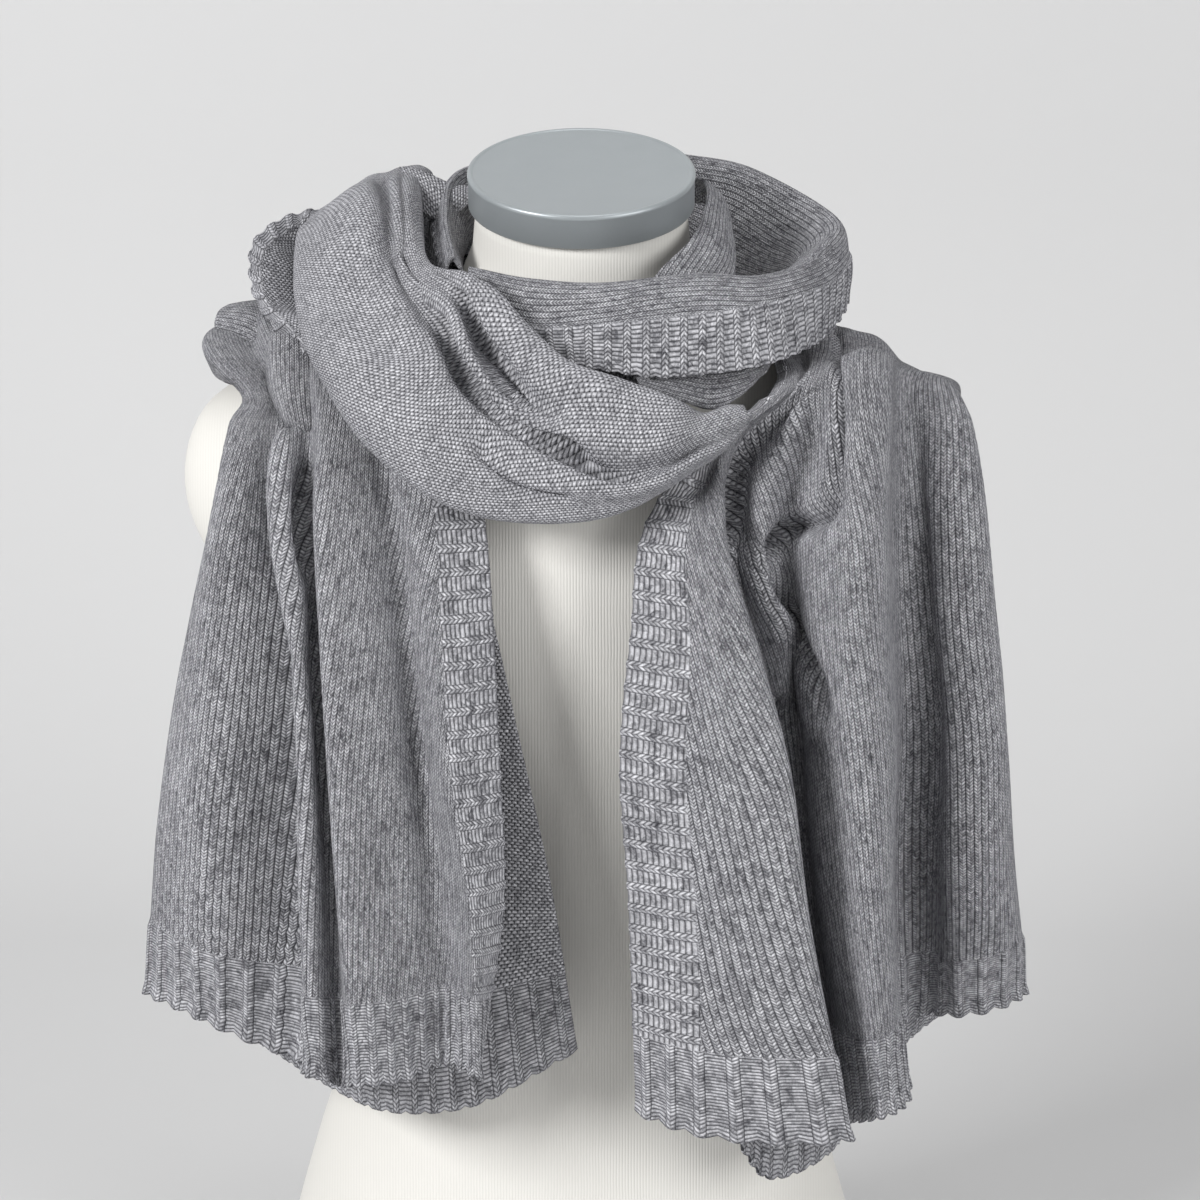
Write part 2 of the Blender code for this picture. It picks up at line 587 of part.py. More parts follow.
def fold_places(knots: np.ndarray, start: float, end: float, step: float) -> np.ndarray:
    """Places at each fold line between start and end, and between them where they are far."""
    inside = [knot for knot in knots if start + KNOT_REACH < knot < end - KNOT_REACH]
    stops = [start] + inside + [end]
    runs = [spaced(first, last, step)[:-1] for first, last in zip(stops, stops[1:])]
    return np.concatenate(runs + [np.array([end])])


def build_strand(side: str, folds: tuple, stations: tuple, face: int) -> None:
    """One end of the stole: its hem, panel, two borders, and the wrap behind the neck."""
    surface = strand_surface(folds, stations)
    top, bust = surface.along_knots[PANEL_SPANS], surface.along_knots[BUST_SPANS]
    border = float(surface.across_knots[1])
    far_border = surface.width - FAR_BORDER_WIDTH
    hem_line = surface.points(np.linspace(0.0, surface.width, 200), np.zeros(1))[:, 0]
    hem_length = np.linalg.norm(np.diff(hem_line, axis=0), axis=1).sum()
    hem_ribs = round(hem_length / RIB_PITCH)
    rib_rows = spaced(HEM_DEPTH + END_GAP, top, RIB_PITCH / 2)
    below_bust = rib_rows[rib_rows < bust][::PANEL_ROW_STEP]
    above_bust = rib_rows[rib_rows > below_bust[-1] + RIB_PITCH][::CHEST_ROW_STEP]
    panel_rows = np.unique(np.concatenate((below_bust, above_bust, rib_rows[-1:])))
    panel_columns = fold_places(surface.across_knots, border + SEAM_GAP,
                                far_border - SEAM_GAP, PANEL_CELL)
    wrap_columns = np.concatenate(([0.0, border], panel_columns[1:-1],
                                   [far_border, surface.width]))
    knit_wall(f"{side}_hem", surface, np.linspace(0.0, surface.width, 2 * hem_ribs + 1),
              np.array([0.0, HEM_DEPTH]), face, ribs_along, scallops=True)
    knit_wall(f"{side}_panel", surface, panel_columns, panel_rows, face)
    knit_wall(f"{side}_inner_border", surface, np.array([0.0, border]), rib_rows, face,
              ribs_across)
    knit_wall(f"{side}_outer_border", surface, np.array([far_border, surface.width]),
              rib_rows, face, ribs_across)
    knit_wall(f"{side}_wrap", surface, wrap_columns,
              fold_places(surface.along_knots, top + END_GAP, surface.length, WRAP_CELL), face)


def table_surface(stations: tuple) -> KnitSurface:
    """A surface whose net is a table's columns, one row for each cut."""
    net = np.array([[list(place) for place in station[1:]] for station in stations], dtype=float)
    return KnitSurface(net.transpose(1, 0, 2))


def build_cowl() -> None:
    """The purl side of the stole's middle, hanging across the chest."""
    surface = table_surface(COWL_STATIONS)
    knit_wall("cowl", surface, fold_places(surface.across_knots, 0.0, surface.width, COWL_CELL),
              spaced(0.0, surface.length, COWL_ROW), 1)


def build_neck_band() -> None:
    """The upper edge, turned down round the neck, and its ribbed border."""
    surface = table_surface(BAND_STATIONS)
    rib_line = float(surface.across_knots[RIB_LINE_COLUMN])
    knit_wall("neck_band", surface,
              fold_places(surface.across_knots, 0.0, rib_line - SEAM_GAP, BAND_CELL),
              spaced(0.0, surface.length, BAND_ROW), 1)
    knit_wall("neck_band_border", surface, np.array([rib_line, surface.width]),
              spaced(0.0, surface.length, RIB_PITCH / 2), 1, ribs_across)


def build_neck_strip() -> None:
    """The strip that comes from behind the cap and hugs the neck."""
    surface = table_surface(STRIP_STATIONS)
    knit_wall("neck_strip", surface, fold_places(surface.across_knots, 0.0, surface.width, STRIP_CELL),
              spaced(0.0, surface.length, BAND_ROW), -1)


def build_shoulder_fold() -> None:
    """The hood-shaped fold that stands up behind the cowl on the left shoulder."""
    surface = table_surface(SHOULDER_FOLD_STATIONS)
    knit_wall("left_shoulder_fold", surface,
              fold_places(surface.across_knots, 0.0, surface.width, BAND_CELL),
              spaced(0.0, surface.length, BAND_ROW), 1)


def main() -> None:
    """Build the form and every stretch of the stole on it."""
    remove_scene_objects()
    collection = bpy.data.collections.new(OBJECT_NAME)
    bpy.context.scene.collection.children.link(collection)
    build_form()
    build_cap()
    build_strand("left", LEFT_FOLDS, LEFT_WRAP, face=-1)
    build_strand("right", RIGHT_FOLDS, RIGHT_WRAP, face=1)
    build_neck_band()
    build_neck_strip()
    build_shoulder_fold()
    build_cowl()


main()
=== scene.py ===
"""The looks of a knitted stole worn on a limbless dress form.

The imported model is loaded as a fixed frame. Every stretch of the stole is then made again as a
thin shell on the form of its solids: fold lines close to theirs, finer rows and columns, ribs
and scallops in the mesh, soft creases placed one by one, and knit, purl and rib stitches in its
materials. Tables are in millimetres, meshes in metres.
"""

import logging
from dataclasses import dataclass, field
from enum import Enum
from math import acos, cos, pi, radians, sin
from typing import Callable, ClassVar, NamedTuple, Optional, Sequence

import bmesh
import bpy
import numpy as np
from bpy.types import Material, Mesh, Node, NodeSocket, NodeTree, Object
from mathutils import Euler, Matrix, Vector


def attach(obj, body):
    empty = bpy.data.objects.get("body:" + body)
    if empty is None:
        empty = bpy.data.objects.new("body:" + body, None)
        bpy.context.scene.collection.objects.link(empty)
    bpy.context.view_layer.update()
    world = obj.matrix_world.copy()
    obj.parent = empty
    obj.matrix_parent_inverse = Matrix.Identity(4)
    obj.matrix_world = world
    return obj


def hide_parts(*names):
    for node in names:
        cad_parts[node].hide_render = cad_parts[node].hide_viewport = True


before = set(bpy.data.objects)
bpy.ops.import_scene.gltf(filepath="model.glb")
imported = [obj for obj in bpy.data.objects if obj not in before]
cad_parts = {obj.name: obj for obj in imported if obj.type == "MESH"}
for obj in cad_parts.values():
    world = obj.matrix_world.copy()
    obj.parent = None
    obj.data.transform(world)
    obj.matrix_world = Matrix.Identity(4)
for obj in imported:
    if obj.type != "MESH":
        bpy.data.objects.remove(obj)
log = logging.getLogger("stole")

MM = 0.001
Point = tuple[float, float, float]
Pair = tuple[np.ndarray, np.ndarray]
Colour = tuple[float, float, float, float]

# The stole's own sizes; the ridge's edges are shares of the ribs' pitch
WALL = 1.8
RIB_PITCH = 11.5
BAND_RIB_PITCH = 9.4
RIB_HEIGHT = 1.5
RIDGE_FLAT, RIDGE_FOOT = 0.13, 0.30
HEM_DEPTH = 46.0
FAR_BORDER_WIDTH = 26.0
SCALLOP_DROP = 2.4

# The stitches' pitches, and how the cowl's turn onto the bias: (place along it, degrees)
WALE_PITCH = 2.3
ROW_PITCH = 1.75
RIB_STITCH = 1.8
COWL_TURN = ((0.0, 10.0), (90.0, 20.0), (165.0, 36.0), (300.0, 86.0), (400.0, 94.0))
COWL_GAUGE = 1.1

# How the tables below are read: heights of the fold lines' levels, and where borders start
KNOT_Z, BUST_Z, RIB_CAGE_Z, WAIST_Z, HIP_Z = 577.0, 545.0, 487.0, 423.0, 355.0
KNOT_SPANS = 5
RIB_LINE_COLUMN = 3
FOLD_RIM_COLUMN = 2
UNDER_LAYER_PLEAT = 0.2
CORE_DEPTH = 60.0
CREASE_PROBES = 14

# The dress form's sizes
FORM_HEIGHT = 700.0
NECK_TOP_RADIUS = 55.0
CAP_HEIGHT = 18.7
CAP_TILT = 13.4
CAP_TOP_Y = -10.0
PART_GAP = 0.3


class Side(Enum):
    """The side of the knitting that a face shows."""

    KNIT = "knit"
    PURL = "purl"


class FormSection(NamedTuple):
    """One level of the dress form: an ellipse, tipped forward near the neck."""

    z: float
    half_width: float
    half_depth: float
    centre_y: float = 0.0
    centre_x: float = -6.0
    tilt: float = 0.0


class FoldLine(NamedTuple):
    """One crease or crest of a hanging end, followed from the chest to the hem."""

    name: str
    across: float
    layer: int
    crest: float
    chest: Point
    knot: tuple[float, float]
    bust: tuple[float, float]
    rib_cage: tuple[float, float]
    waist: tuple[float, float]
    hip: tuple[float, float]
    hem: Point


class WrapStation(NamedTuple):
    """One cut through the bundle where it passes over the shoulder and behind the neck."""

    name: str
    inner: Point
    outer: Point
    arch: float
    lift_inner: float
    lift_outer: float
    pleat: float


class Crease(NamedTuple):
    """A soft trough (height below 0) or ridge along a path of places across and along a sheet."""

    name: str
    height: float
    width: float
    path: tuple[tuple[float, float], ...]


class CowlStation(NamedTuple):
    """One cut across the cowl, from its rolled upper edge to its lower fold."""

    name: str
    tail: Point
    roll: Point
    upper: Point
    short_crease: Point
    crest: Point
    deep_crease: Point
    belly: Point
    lower: Point
    bottom: Point
    under: Point


class BandStation(NamedTuple):
    """One cut through the neck band: up the inner wall, over the fold and down outside."""

    name: str
    deep: Point
    inner: Point
    top: Point
    rib_line: Point
    edge: Point


class ShoulderFoldStation(NamedTuple):
    """One cut across the hood-shaped fold on the left shoulder."""

    name: str
    deep: Point
    pocket: Point
    face: Point
    rim: Point


class StripStation(NamedTuple):
    """One cut across the strip that hugs the neck."""

    name: str
    rolled_edge: Point
    middle: Point
    lower_edge: Point


FORM_SECTIONS = tuple(FormSection(*row) for row in (
    (0.0, 163.0, 101.0), (4.0, 166.0, 104.0), (36.0, 168.0, 107.0), (74.0, 164.0, 105.0),
    (113.0, 154.0, 101.0), (156.0, 142.0, 96.0), (205.0, 127.0, 90.0), (255.0, 119.0, 86.0),
    (310.0, 122.0, 89.0), (365.0, 136.0, 95.0), (420.0, 154.0, 100.0), (465.0, 173.0, 103.0),
    (495.0, 194.0, 103.0), (525.0, 205.0, 99.0), (550.0, 204.0, 91.0, 1.0),
    (572.0, 194.0, 82.0, 2.0), (590.0, 168.0, 75.0, 3.0), (606.0, 131.0, 70.0, 3.0, -4.0),
    (622.0, 92.0, 65.0, 2.0, -2.0, 2.0), (640.0, 65.0, 60.0, 0.0, -1.0, 6.0),
    (660.0, 57.0, 56.0, -3.0, 0.0, 10.0),
))

LEFT_FOLDS = tuple(FoldLine(*row) for row in (
    ("inner edge", 0.00, 1, 0.0, (-65, -84, 600), (-56, -98), (-49, -114), (-44, -132),
     (-41, -145), (-39, -152), (-54, -148, 252)),
    ("border crest", 0.09, 1, 0.5, (-86, -81, 601), (-80, -99), (-74, -118), (-70, -142),
     (-66, -156), (-57, -164), (-54, -168, 262)),
    ("first crease", 0.22, 1, -1.0, (-108, -71, 599), (-104, -89), (-98, -106), (-90, -126),
     (-82, -139), (-73, -146), (-72, -151, 262)),
    ("front fold middle", 0.34, 1, 0.6, (-121, -68, 599), (-118, -90), (-115, -111), (-108, -136),
     (-101, -150), (-95, -157), (-92, -166, 259)),
    ("front fold crest", 0.46, 1, 1.0, (-134, -62, 601), (-132, -87), (-131, -113), (-127, -139),
     (-123, -155), (-119, -162), (-113, -172, 259)),
    ("narrow crease", 0.56, 1, -1.0, (-142, -55, 600), (-140, -75), (-139, -98), (-135, -121),
     (-131, -137), (-127, -144), (-124, -152, 250)),
    ("narrow ridge", 0.66, 1, 1.0, (-150, -54, 598), (-150, -78), (-149, -104), (-144, -128),
     (-140, -146), (-139, -151), (-136, -160, 258)),
    ("dark valley", 0.77, 1, -1.0, (-157, -46, 594), (-157, -64), (-157, -84), (-154, -101),
     (-152, -110), (-153, -112), (-155, -112, 247)),
    ("side face", 0.89, 1, 1.0, (-165, -50, 590), (-169, -66), (-173, -79), (-177, -84),
     (-182, -88), (-189, -91), (-196, -88, 262)),
    ("side fold", 1.00, 1, 0.0, (-176, -42, 587), (-181, -57), (-186, -66), (-200, -61),
     (-215, -55), (-226, -53), (-235, -53, 263)),
    ("side return", 0.99, 0, 0.0, (-173, -31, 587), (-176, -45), (-179, -54), (-190, -44),
     (-203, -34), (-212, -30), (-221, -28, 258)),
    ("back layer outer", 0.84, 0, 1.0, (-160, -32, 589), (-158, -52), (-157, -70), (-162, -70),
     (-168, -64), (-174, -62), (-180, -62, 240)),
    ("back layer crease", 0.64, 0, -1.0, (-140, -42, 594), (-138, -62), (-136, -79), (-137, -86),
     (-139, -85), (-142, -84), (-148, -84, 228)),
    ("back layer crest", 0.42, 0, 1.0, (-118, -52, 597), (-115, -73), (-112, -89), (-110, -101),
     (-108, -110), (-104, -114), (-104, -118, 221)),
    ("back layer inner", 0.22, 0, -0.6, (-96, -60, 599), (-92, -78), (-88, -93), (-84, -104),
     (-79, -108), (-72, -108), (-62, -118, 222)),
    ("far edge", 0.04, 0, 0.0, (-76, -68, 600), (-67, -85), (-60, -99), (-45, -109), (-31, -117),
     (-17, -121), (-2, -125, 258)),
))

LEFT_WRAP = tuple(WrapStation(*row) for row in (
    ("front of shoulder", (-87, -44, 612), (-190, -26, 592), 5.0, 5.0, 8.0, 2.5),
    ("top of shoulder", (-90, 5, 634), (-197, 5, 595), 7.0, 7.0, 10.0, 4.5),
    ("back of shoulder", (-82, 52, 625), (-184, 60, 574), 8.0, 7.0, 11.0, 5.0),
    ("left of spine", (-46, 76, 642), (-108, 100, 552), 4.0, 7.0, 9.0, 3.5),
    ("nape", (0, 76, 648), (6, 107, 548), 2.0, 7.0, 8.0, 3.0),
    ("right of spine", (34, 76, 646), (48, 104, 560), 2.0, 6.0, 7.0, 2.5),
))

RIGHT_FOLDS = tuple(FoldLine(*row) for row in (
    ("inner edge", 0.00, 1, 0.0, (97, -90, 601), (62, -103), (35, -123), (25, -144), (20, -150),
     (24, -155), (28, -158, 238)),
    ("border crest", 0.04, 1, 0.3, (102, -93, 603), (68, -106), (54, -133), (54, -162), (52, -170),
     (57, -171), (62, -175, 233)),
    ("front fold middle", 0.08, 1, 0.0, (106, -94, 604), (72, -108), (63, -139), (71, -169),
     (77, -176), (85, -178), (99, -181, 231)),
    ("front fold crest", 0.12, 1, 0.2, (110, -92, 604), (76, -106), (72, -136), (89, -165),
     (105, -172), (114, -175), (137, -178, 231)),
    ("front fold return", 0.16, 1, 0.0, (113, -90, 605), (80, -101), (72, -121), (83, -142),
     (97, -146), (106, -147), (128, -151, 226)),
    ("first crease", 0.21, 1, 0.0, (112, -88, 606), (83, -98), (78, -108), (86, -119), (97, -120),
     (105, -121), (123, -128, 216)),
    ("twisted layer", 0.28, 1, 0.3, (119, -86, 608), (99, -105), (91, -120), (100, -126),
     (106, -120), (111, -114), (131, -118, 214)),
    ("pocket", 0.36, 1, -0.5, (126, -82, 611), (116, -94), (106, -103), (109, -109), (113, -110),
     (118, -111), (138, -116, 218)),
    ("tube fold side", 0.43, 1, 0.2, (132, -85, 615), (126, -110), (119, -125), (116, -134),
     (118, -138), (124, -142), (143, -142, 226)),
    ("tube fold crest", 0.52, 1, 1.8, (141, -87, 619), (137, -122), (134, -140), (132, -150),
     (135, -155), (141, -160), (153, -165, 238)),
    ("tube fold far side", 0.63, 1, 0.4, (156, -72, 612), (154, -101), (152, -119), (152, -130),
     (157, -135), (157, -140), (168, -146, 240)),
    ("dark valley", 0.75, 1, -0.5, (165, -60, 604), (163, -73), (163, -81), (165, -82), (169, -80),
     (169, -78), (173, -78, 254)),
    ("side face", 0.87, 1, 0.8, (178, -50, 599), (180, -68), (181, -82), (184, -90), (191, -93),
     (194, -93), (199, -88, 264)),
    ("side fold", 1.00, 1, 0.0, (193, -37, 590), (198, -48), (204, -56), (212, -57), (222, -53),
     (229, -51), (239, -49, 261)),
    ("side return", 0.99, 0, 0.0, (187, -29, 586), (192, -38), (199, -43), (204, -42), (212, -34),
     (218, -30), (226, -26, 256)),
    ("back layer outer", 0.86, 0, 1.0, (172, -35, 591), (174, -44), (176, -51), (177, -52),
     (180, -46), (184, -42), (186, -42, 236)),
    ("back layer crease", 0.66, 0, -1.0, (152, -45, 596), (148, -56), (147, -65), (145, -69),
     (147, -67), (150, -64), (158, -68, 214)),
    ("back layer crest", 0.42, 0, 0.6, (130, -54, 600), (125, -72), (123, -86), (122, -90),
     (123, -87), (125, -84), (132, -100, 188)),
    ("back layer inner", 0.24, 0, -0.4, (113, -63, 601), (103, -78), (98, -90), (96, -97),
     (96, -96), (98, -97), (100, -114, 180)),
    ("far edge", 0.08, 0, 0.0, (100, -70, 602), (84, -84), (77, -96), (73, -104), (71, -105),
     (74, -108), (84, -124, 203)),
))

RIGHT_WRAP = tuple(WrapStation(*row) for row in (
    ("front of shoulder", (95, -48, 607.5), (196, -15, 577), 6.5, 7.0, 9.0, 2.0),
    ("top of shoulder", (92, 6, 626.5), (198, 10, 567), 5.5, 6.0, 7.0, 2.0),
    ("back of shoulder", (84, 52, 615), (188, 56, 548), 8.0, 6.0, 8.0, 2.5),
    ("right of spine", (56, 92, 632), (128, 112, 540), 6.0, 7.0, 9.0, 3.5),
    ("nape", (0, 103, 637), (16, 134, 542), 2.0, 7.0, 9.0, 3.5),
    ("left of spine", (-60, 106, 660), (-98, 132, 580), 4.0, 7.0, 8.0, 3.0),
    ("over the left shoulder", (-88, 60, 672), (-140, 84, 642), 5.0, 6.0, 7.0, 2.5),
    ("under the cowl", (-88, 28, 661), (-138, 46, 645), 4.0, 4.0, 4.0, 1.5),
))

COWL_STATIONS = tuple(CowlStation(*row) for row in (
    ("behind the shoulder", (-82, 66, 681), (-82, 62, 687), (-88, 64, 690), (-94, 66, 689),
     (-100, 68, 688), (-106, 70, 685), (-116, 74, 681), (-132, 80, 670), (-148, 84, 652),
     (-147, 80, 645)),
    ("shoulder crest", (-84, 8, 672), (-86, 10, 681), (-91, 6, 686), (-95, 2, 684), (-98, 0, 684),
     (-102, -2, 679), (-114, 0, 684), (-133, 4, 676), (-150, 20, 659), (-148, 22, 650)),
    ("neck side", (-76, -40, 648), (-78, -47, 657), (-83, -52, 659), (-87, -52, 656),
     (-90, -55, 656), (-94, -51, 650), (-106, -62, 651), (-128, -60, 647), (-147, -32, 636),
     (-145, -24, 628)),
    ("left chest", (-52, -74, 648), (-53, -82, 657), (-59, -91, 653), (-62, -87, 645),
     (-67, -97, 640), (-73, -88, 629), (-87, -107, 624), (-115, -104, 618), (-132, -78, 606),
     (-129, -70, 603)),
    ("collar bone", (-30, -92, 626), (-31, -101, 636), (-40, -112, 632), (-46, -104, 625),
     (-54, -118, 620), (-60, -107, 606), (-72, -130, 598), (-90, -131, 585), (-104, -110, 576),
     (-101, -102, 577)),
    ("left of centre", (-10, -107, 611), (-11, -116, 621), (-20, -127, 616), (-26, -128, 607),
     (-33, -135, 598), (-36, -127, 586), (-42, -145, 576), (-49, -146, 562), (-58, -133, 551),
     (-55, -125, 553)),
    ("right of centre", (21, -117, 604), (20, -126, 614), (15, -138, 609), (11, -143, 600),
     (6, -150, 590), (5, -140, 573), (4, -151, 566), (2, -149, 556), (1, -136, 548),
     (2, -127, 550)),
    ("right chest", (50, -120, 596), (49, -128, 604), (46, -140, 600), (44, -144, 594),
     (42, -149, 586), (40, -141, 575), (40, -148, 570), (39, -146, 564), (38, -136, 560),
     (39, -129, 562)),
    ("dip", (63, -116, 593), (62, -122, 596), (60, -130, 596), (59, -134, 593), (58, -137, 589),
     (57, -134, 582), (57, -138, 578), (57, -135, 573), (56, -128, 570), (57, -122, 572)),
    ("tip", (73, -113, 595), (73, -119, 599), (72, -125, 599), (72, -129, 596), (72, -131, 592),
     (72, -129, 587), (71, -130, 583), (71, -127, 580), (70, -121, 578), (71, -115, 580)),
    ("nose", (79, -113, 595), (81, -115, 598.3), (82, -118.5, 598.2), (83, -120.5, 596.5),
     (83.5, -121.5, 594.5), (83.5, -121, 592.5), (83, -119.5, 591), (82, -117.5, 590),
     (80.5, -114, 589.8), (79, -111, 591)),
))

BAND_STATIONS = tuple(BandStation(*row) for row in (
    ("left start", (-53, -62, 626), (-54, -57, 640), (-57, -54, 657), (-57, -65, 647),
     (-55, -71, 632)),
    ("throat left", (-18, -84, 600), (-20, -75, 634), (-21, -79, 655), (-23, -90, 634),
     (-20, -95, 618)),
    ("throat", (12, -86, 592), (10, -79, 634), (10, -87, 655), (10, -98, 637), (10, -104, 616)),
    ("throat right", (36, -90, 592), (34, -80, 634), (35, -89, 658), (35, -101, 640),
     (35, -108, 613)),
    ("right front", (62, -86, 598), (58, -74, 637), (60, -83, 659), (60, -98, 642),
     (60, -106, 614)),
    ("right turn", (85, -58, 630), (84, -58, 642), (91, -67, 655), (92, -82, 644),
     (95, -94, 617)),
    ("right of neck", (96, -32, 638), (99, -36, 647), (112, -45, 656), (113, -60, 645),
     (115, -71, 620)),
    ("right side", (106, -4, 641), (114, -6, 651), (130, -10, 662), (132, -20, 645),
     (130, -30, 622)),
    ("right widest", (106, 18, 638), (117, 20, 652), (136, 20, 666), (141, 18, 650),
     (140, 13, 630)),
    ("right behind", (90, 44, 633), (101, 49, 655), (118, 57, 675), (125, 64, 659),
     (127, 69, 638)),
    ("back right", (68, 58, 636), (77, 65, 666), (87, 75, 688), (94, 87, 670), (98, 94, 650)),
    ("behind the cap", (49, 64, 659), (54, 70, 674), (61, 81, 692), (64, 94, 675),
     (67, 101, 653)),
    ("nape", (6, 70, 660), (8, 76, 676), (10, 88, 694), (10, 102, 677), (10, 109, 655)),
    ("back left", (-33, 60, 662), (-37, 64, 675), (-43, 73, 691), (-49, 84, 677), (-52, 90, 659)),
    ("left of cap", (-58, 26, 657), (-62, 28, 672), (-69, 32, 688), (-76, 35, 674),
     (-78, 36, 660)),
    ("left side", (-62.6, -4, 650), (-66, -3, 661), (-71, -2, 672), (-75, -3, 664),
     (-77, -4, 654)),
    ("left end", (-60, -33, 641), (-62, -34, 651), (-66, -36, 659), (-70, -38, 652),
     (-71, -39, 645)),
))

SHOULDER_FOLD_STATIONS = tuple(ShoulderFoldStation(*row) for row in (
    ("behind the cowl", (-134, 50, 655), (-141, 48, 660), (-144, 54, 665), (-142, 64, 666)),
    ("crest", (-142, 44, 645), (-153, 35, 651), (-159, 34, 658), (-161, 42, 664)),
    ("outermost", (-144, 30, 640), (-158, 17, 647), (-168, 13, 652), (-173, 22, 656)),
    ("lower outer", (-144, 14, 633), (-157, 3, 637), (-168, -2, 641), (-174, 8, 645)),
    ("coming forward", (-143, -4, 627), (-154, -11, 628), (-164, -14, 631), (-170, -6, 632)),
    ("front", (-136, -20, 625), (-145, -28, 625), (-152, -30, 623), (-158, -24, 619)),
    ("under the cowl", (-126, -40, 618), (-133, -46, 617), (-139, -48, 613), (-144, -44, 607)),
))

THROAT_STATIONS = (
    ("left", (19, -96, 622), (26, -103, 614), (30, -108, 608)),
    ("left middle", (40, -94, 622), (46, -101, 611), (50, -106, 600)),
    ("middle", (60, -90, 621), (65, -97, 607), (66, -101, 594)),
    ("right middle", (80, -84, 620), (82, -92, 609), (79, -97, 599)),
    ("right", (97, -74, 619), (97, -80, 614), (94, -85, 610)),
)

CROWN_STATIONS = (
    ("crown", (-97, 42, 693), (-91, 30, 685), (-87, 20, 674)),
    ("left", (-84, 34, 692), (-80, 22, 683), (-79, 13, 671)),
    ("middle", (-72, 31, 687), (-71, 19, 680), (-71, 12, 669)),
    ("beside the cap", (-61, 34, 684), (-61, 24, 681), (-61, 20, 676)),
    ("behind the cap", (-48, 48, 682), (-48, 42, 680), (-48, 40, 677)),
)

LOOP_STATIONS = (
    ("open end", (-186, 12, 611), (-190, 3, 611), (-193, -1, 616), (-192, 3, 621.5),
     (-187, 13, 624)),
    ("outer", (-179, 10, 610), (-183, -2, 609.5), (-185, -7, 615.5), (-183, -2, 622.5),
     (-178, 11, 626)),
    ("middle", (-171, 6, 609), (-174, -7, 607), (-177, -13, 614), (-174, -6, 622.5),
     (-168, 9, 627)),
    ("inner", (-161, 1, 605), (-164, -13, 602), (-166, -19, 609), (-163, -12, 619),
     (-157, 3, 625)),
    ("under the hood", (-150, -8, 600), (-153, -20, 598), (-155, -27, 604), (-151, -20, 612),
     (-146, -8, 616)),
)

LUMP_STATIONS = (
    ("under the hood", (-162, -24, 618), (-160, -31, 619), (-151, -37, 619), (-141, -36, 618)),
    ("top", (-163, -34, 608), (-160, -42, 609), (-150, -49, 609), (-139, -48, 607)),
    ("middle", (-162, -46, 597), (-158, -55, 597), (-149, -61, 597), (-138, -60, 595)),
    ("lower", (-158, -57, 588), (-154, -65, 587), (-147, -70, 586), (-138, -70, 584)),
    ("turned under", (-153, -63, 581), (-150, -69, 579), (-145, -73, 578), (-138, -74, 577)),
    ("tucked in", (-150, -58, 579), (-147, -62, 577), (-143, -66, 576), (-138, -67, 576)),
)

STRIP_STATIONS = tuple(StripStation(*row) for row in (
    ("behind the cap", (51, 65, 686), (52, 66, 680), (51, 67, 671)),
    ("back right", (65, 33, 687), (72, 37, 681), (75, 38, 672)),
    ("right of cap", (64, -5, 678), (73, -3, 674), (79, 0, 664)),
    ("right front", (54, -42, 667), (68, -41, 662), (79, -37, 653)),
    ("below the cap", (38, -67, 656), (58, -63, 652), (77, -53, 644)),
    ("throat", (28, -76, 642), (49, -74, 638), (70, -66, 631)),
))

LEFT_CREASES = tuple(Crease(*row) for row in (
    ("dark valley", -23.0, 8.0, ((124, 320), (122, 255), (121, 215), (121, 160), (121, 100),
     (121, -40))),
    ("outer panel", 15.0, 11.0, ((150, 330), (149, 250), (147, 180), (145, 100), (144, -40))),
    ("loose fold", 7.0, 8.0, ((106, 340), (107, 315), (106, 290), (101, 260), (97, 225))),
    ("narrow ridge", 4.0, 5.0, ((98, 235), (98, 180), (99, 100), (100, 10))),
    ("narrow crease", -5.0, 3.0, ((87, 350), (88, 300), (88, 239), (88, 174), (88, 100),
     (87, 10))),
    ("hollow beside the loose fold", -9.0, 5.0, ((89, 325), (91, 295), (91, 262))),
    ("pinch above the loose fold", -8.0, 4.0, ((91, 341), (100, 344), (110, 341), (119, 334))),
    ("front fold", 3.5, 7.0, ((72, 330), (71, 239), (71, 120), (72, 20))),
    ("first crease", -6.0, 5.0, ((38, 345), (37, 300), (38, 239), (40, 150), (42, 60))),
    ("front hollow", -2.5, 6.0, ((56, 150), (54, 90), (53, 20))),
))
RIGHT_CREASES = tuple(Crease(*row) for row in (
    ("behind the front fold", -9.0, 3.5, ((48, 340), (49, 320), (51, 300), (52, 260), (52, 230),
     (51, 190), (50, 120))),
    ("knot gap", -12.0, 5.0, ((57, 352), (57, 338), (56, 320), (55, 300))),
    ("knot hollow", -10.0, 6.0, ((70, 383), (64, 373), (61, 364), (60, 355), (57, 344))),
    ("diagonal gap", -13.0, 4.5, ((101, 346), (97, 328), (90, 316), (82, 310), (74, 302),
     (66, 295))),
    ("behind the twisted layer", -8.0, 3.5, ((68, 294), (71, 279), (79, 260), (90, 247), (97, 233),
     (101, 212))),
    ("twisted layer", 5.0, 7.0, ((58, 305), (64, 282), (70, 264), (78, 248), (86, 227),
     (91, 200))),
    ("slit beside the tube fold", -13.0, 3.5, ((78, 474), (76, 432), (85, 396), (92, 378),
     (96, 362), (98, 338))),
    ("pocket under the cowl", -8.0, 6.0, ((6, 338), (14, 341), (22, 345), (30, 348))),
    ("dark valley", -12.0, 7.0, ((166, 400), (166, 320), (165, 240), (163, 150), (162, 60),
     (162, -40))),
    ("outer fold", 10.0, 10.0, ((188, 400), (187, 320), (184, 240), (180, 150), (180, 60),
     (180, -40))),
    ("tube fold", 5.0, 10.0, ((122, 385), (118, 260), (118, 150), (119, 30))),
    ("behind the front panel", -12.0, 6.0, ((66, 225), (66, 190), (66, 130), (66, 60))),
))
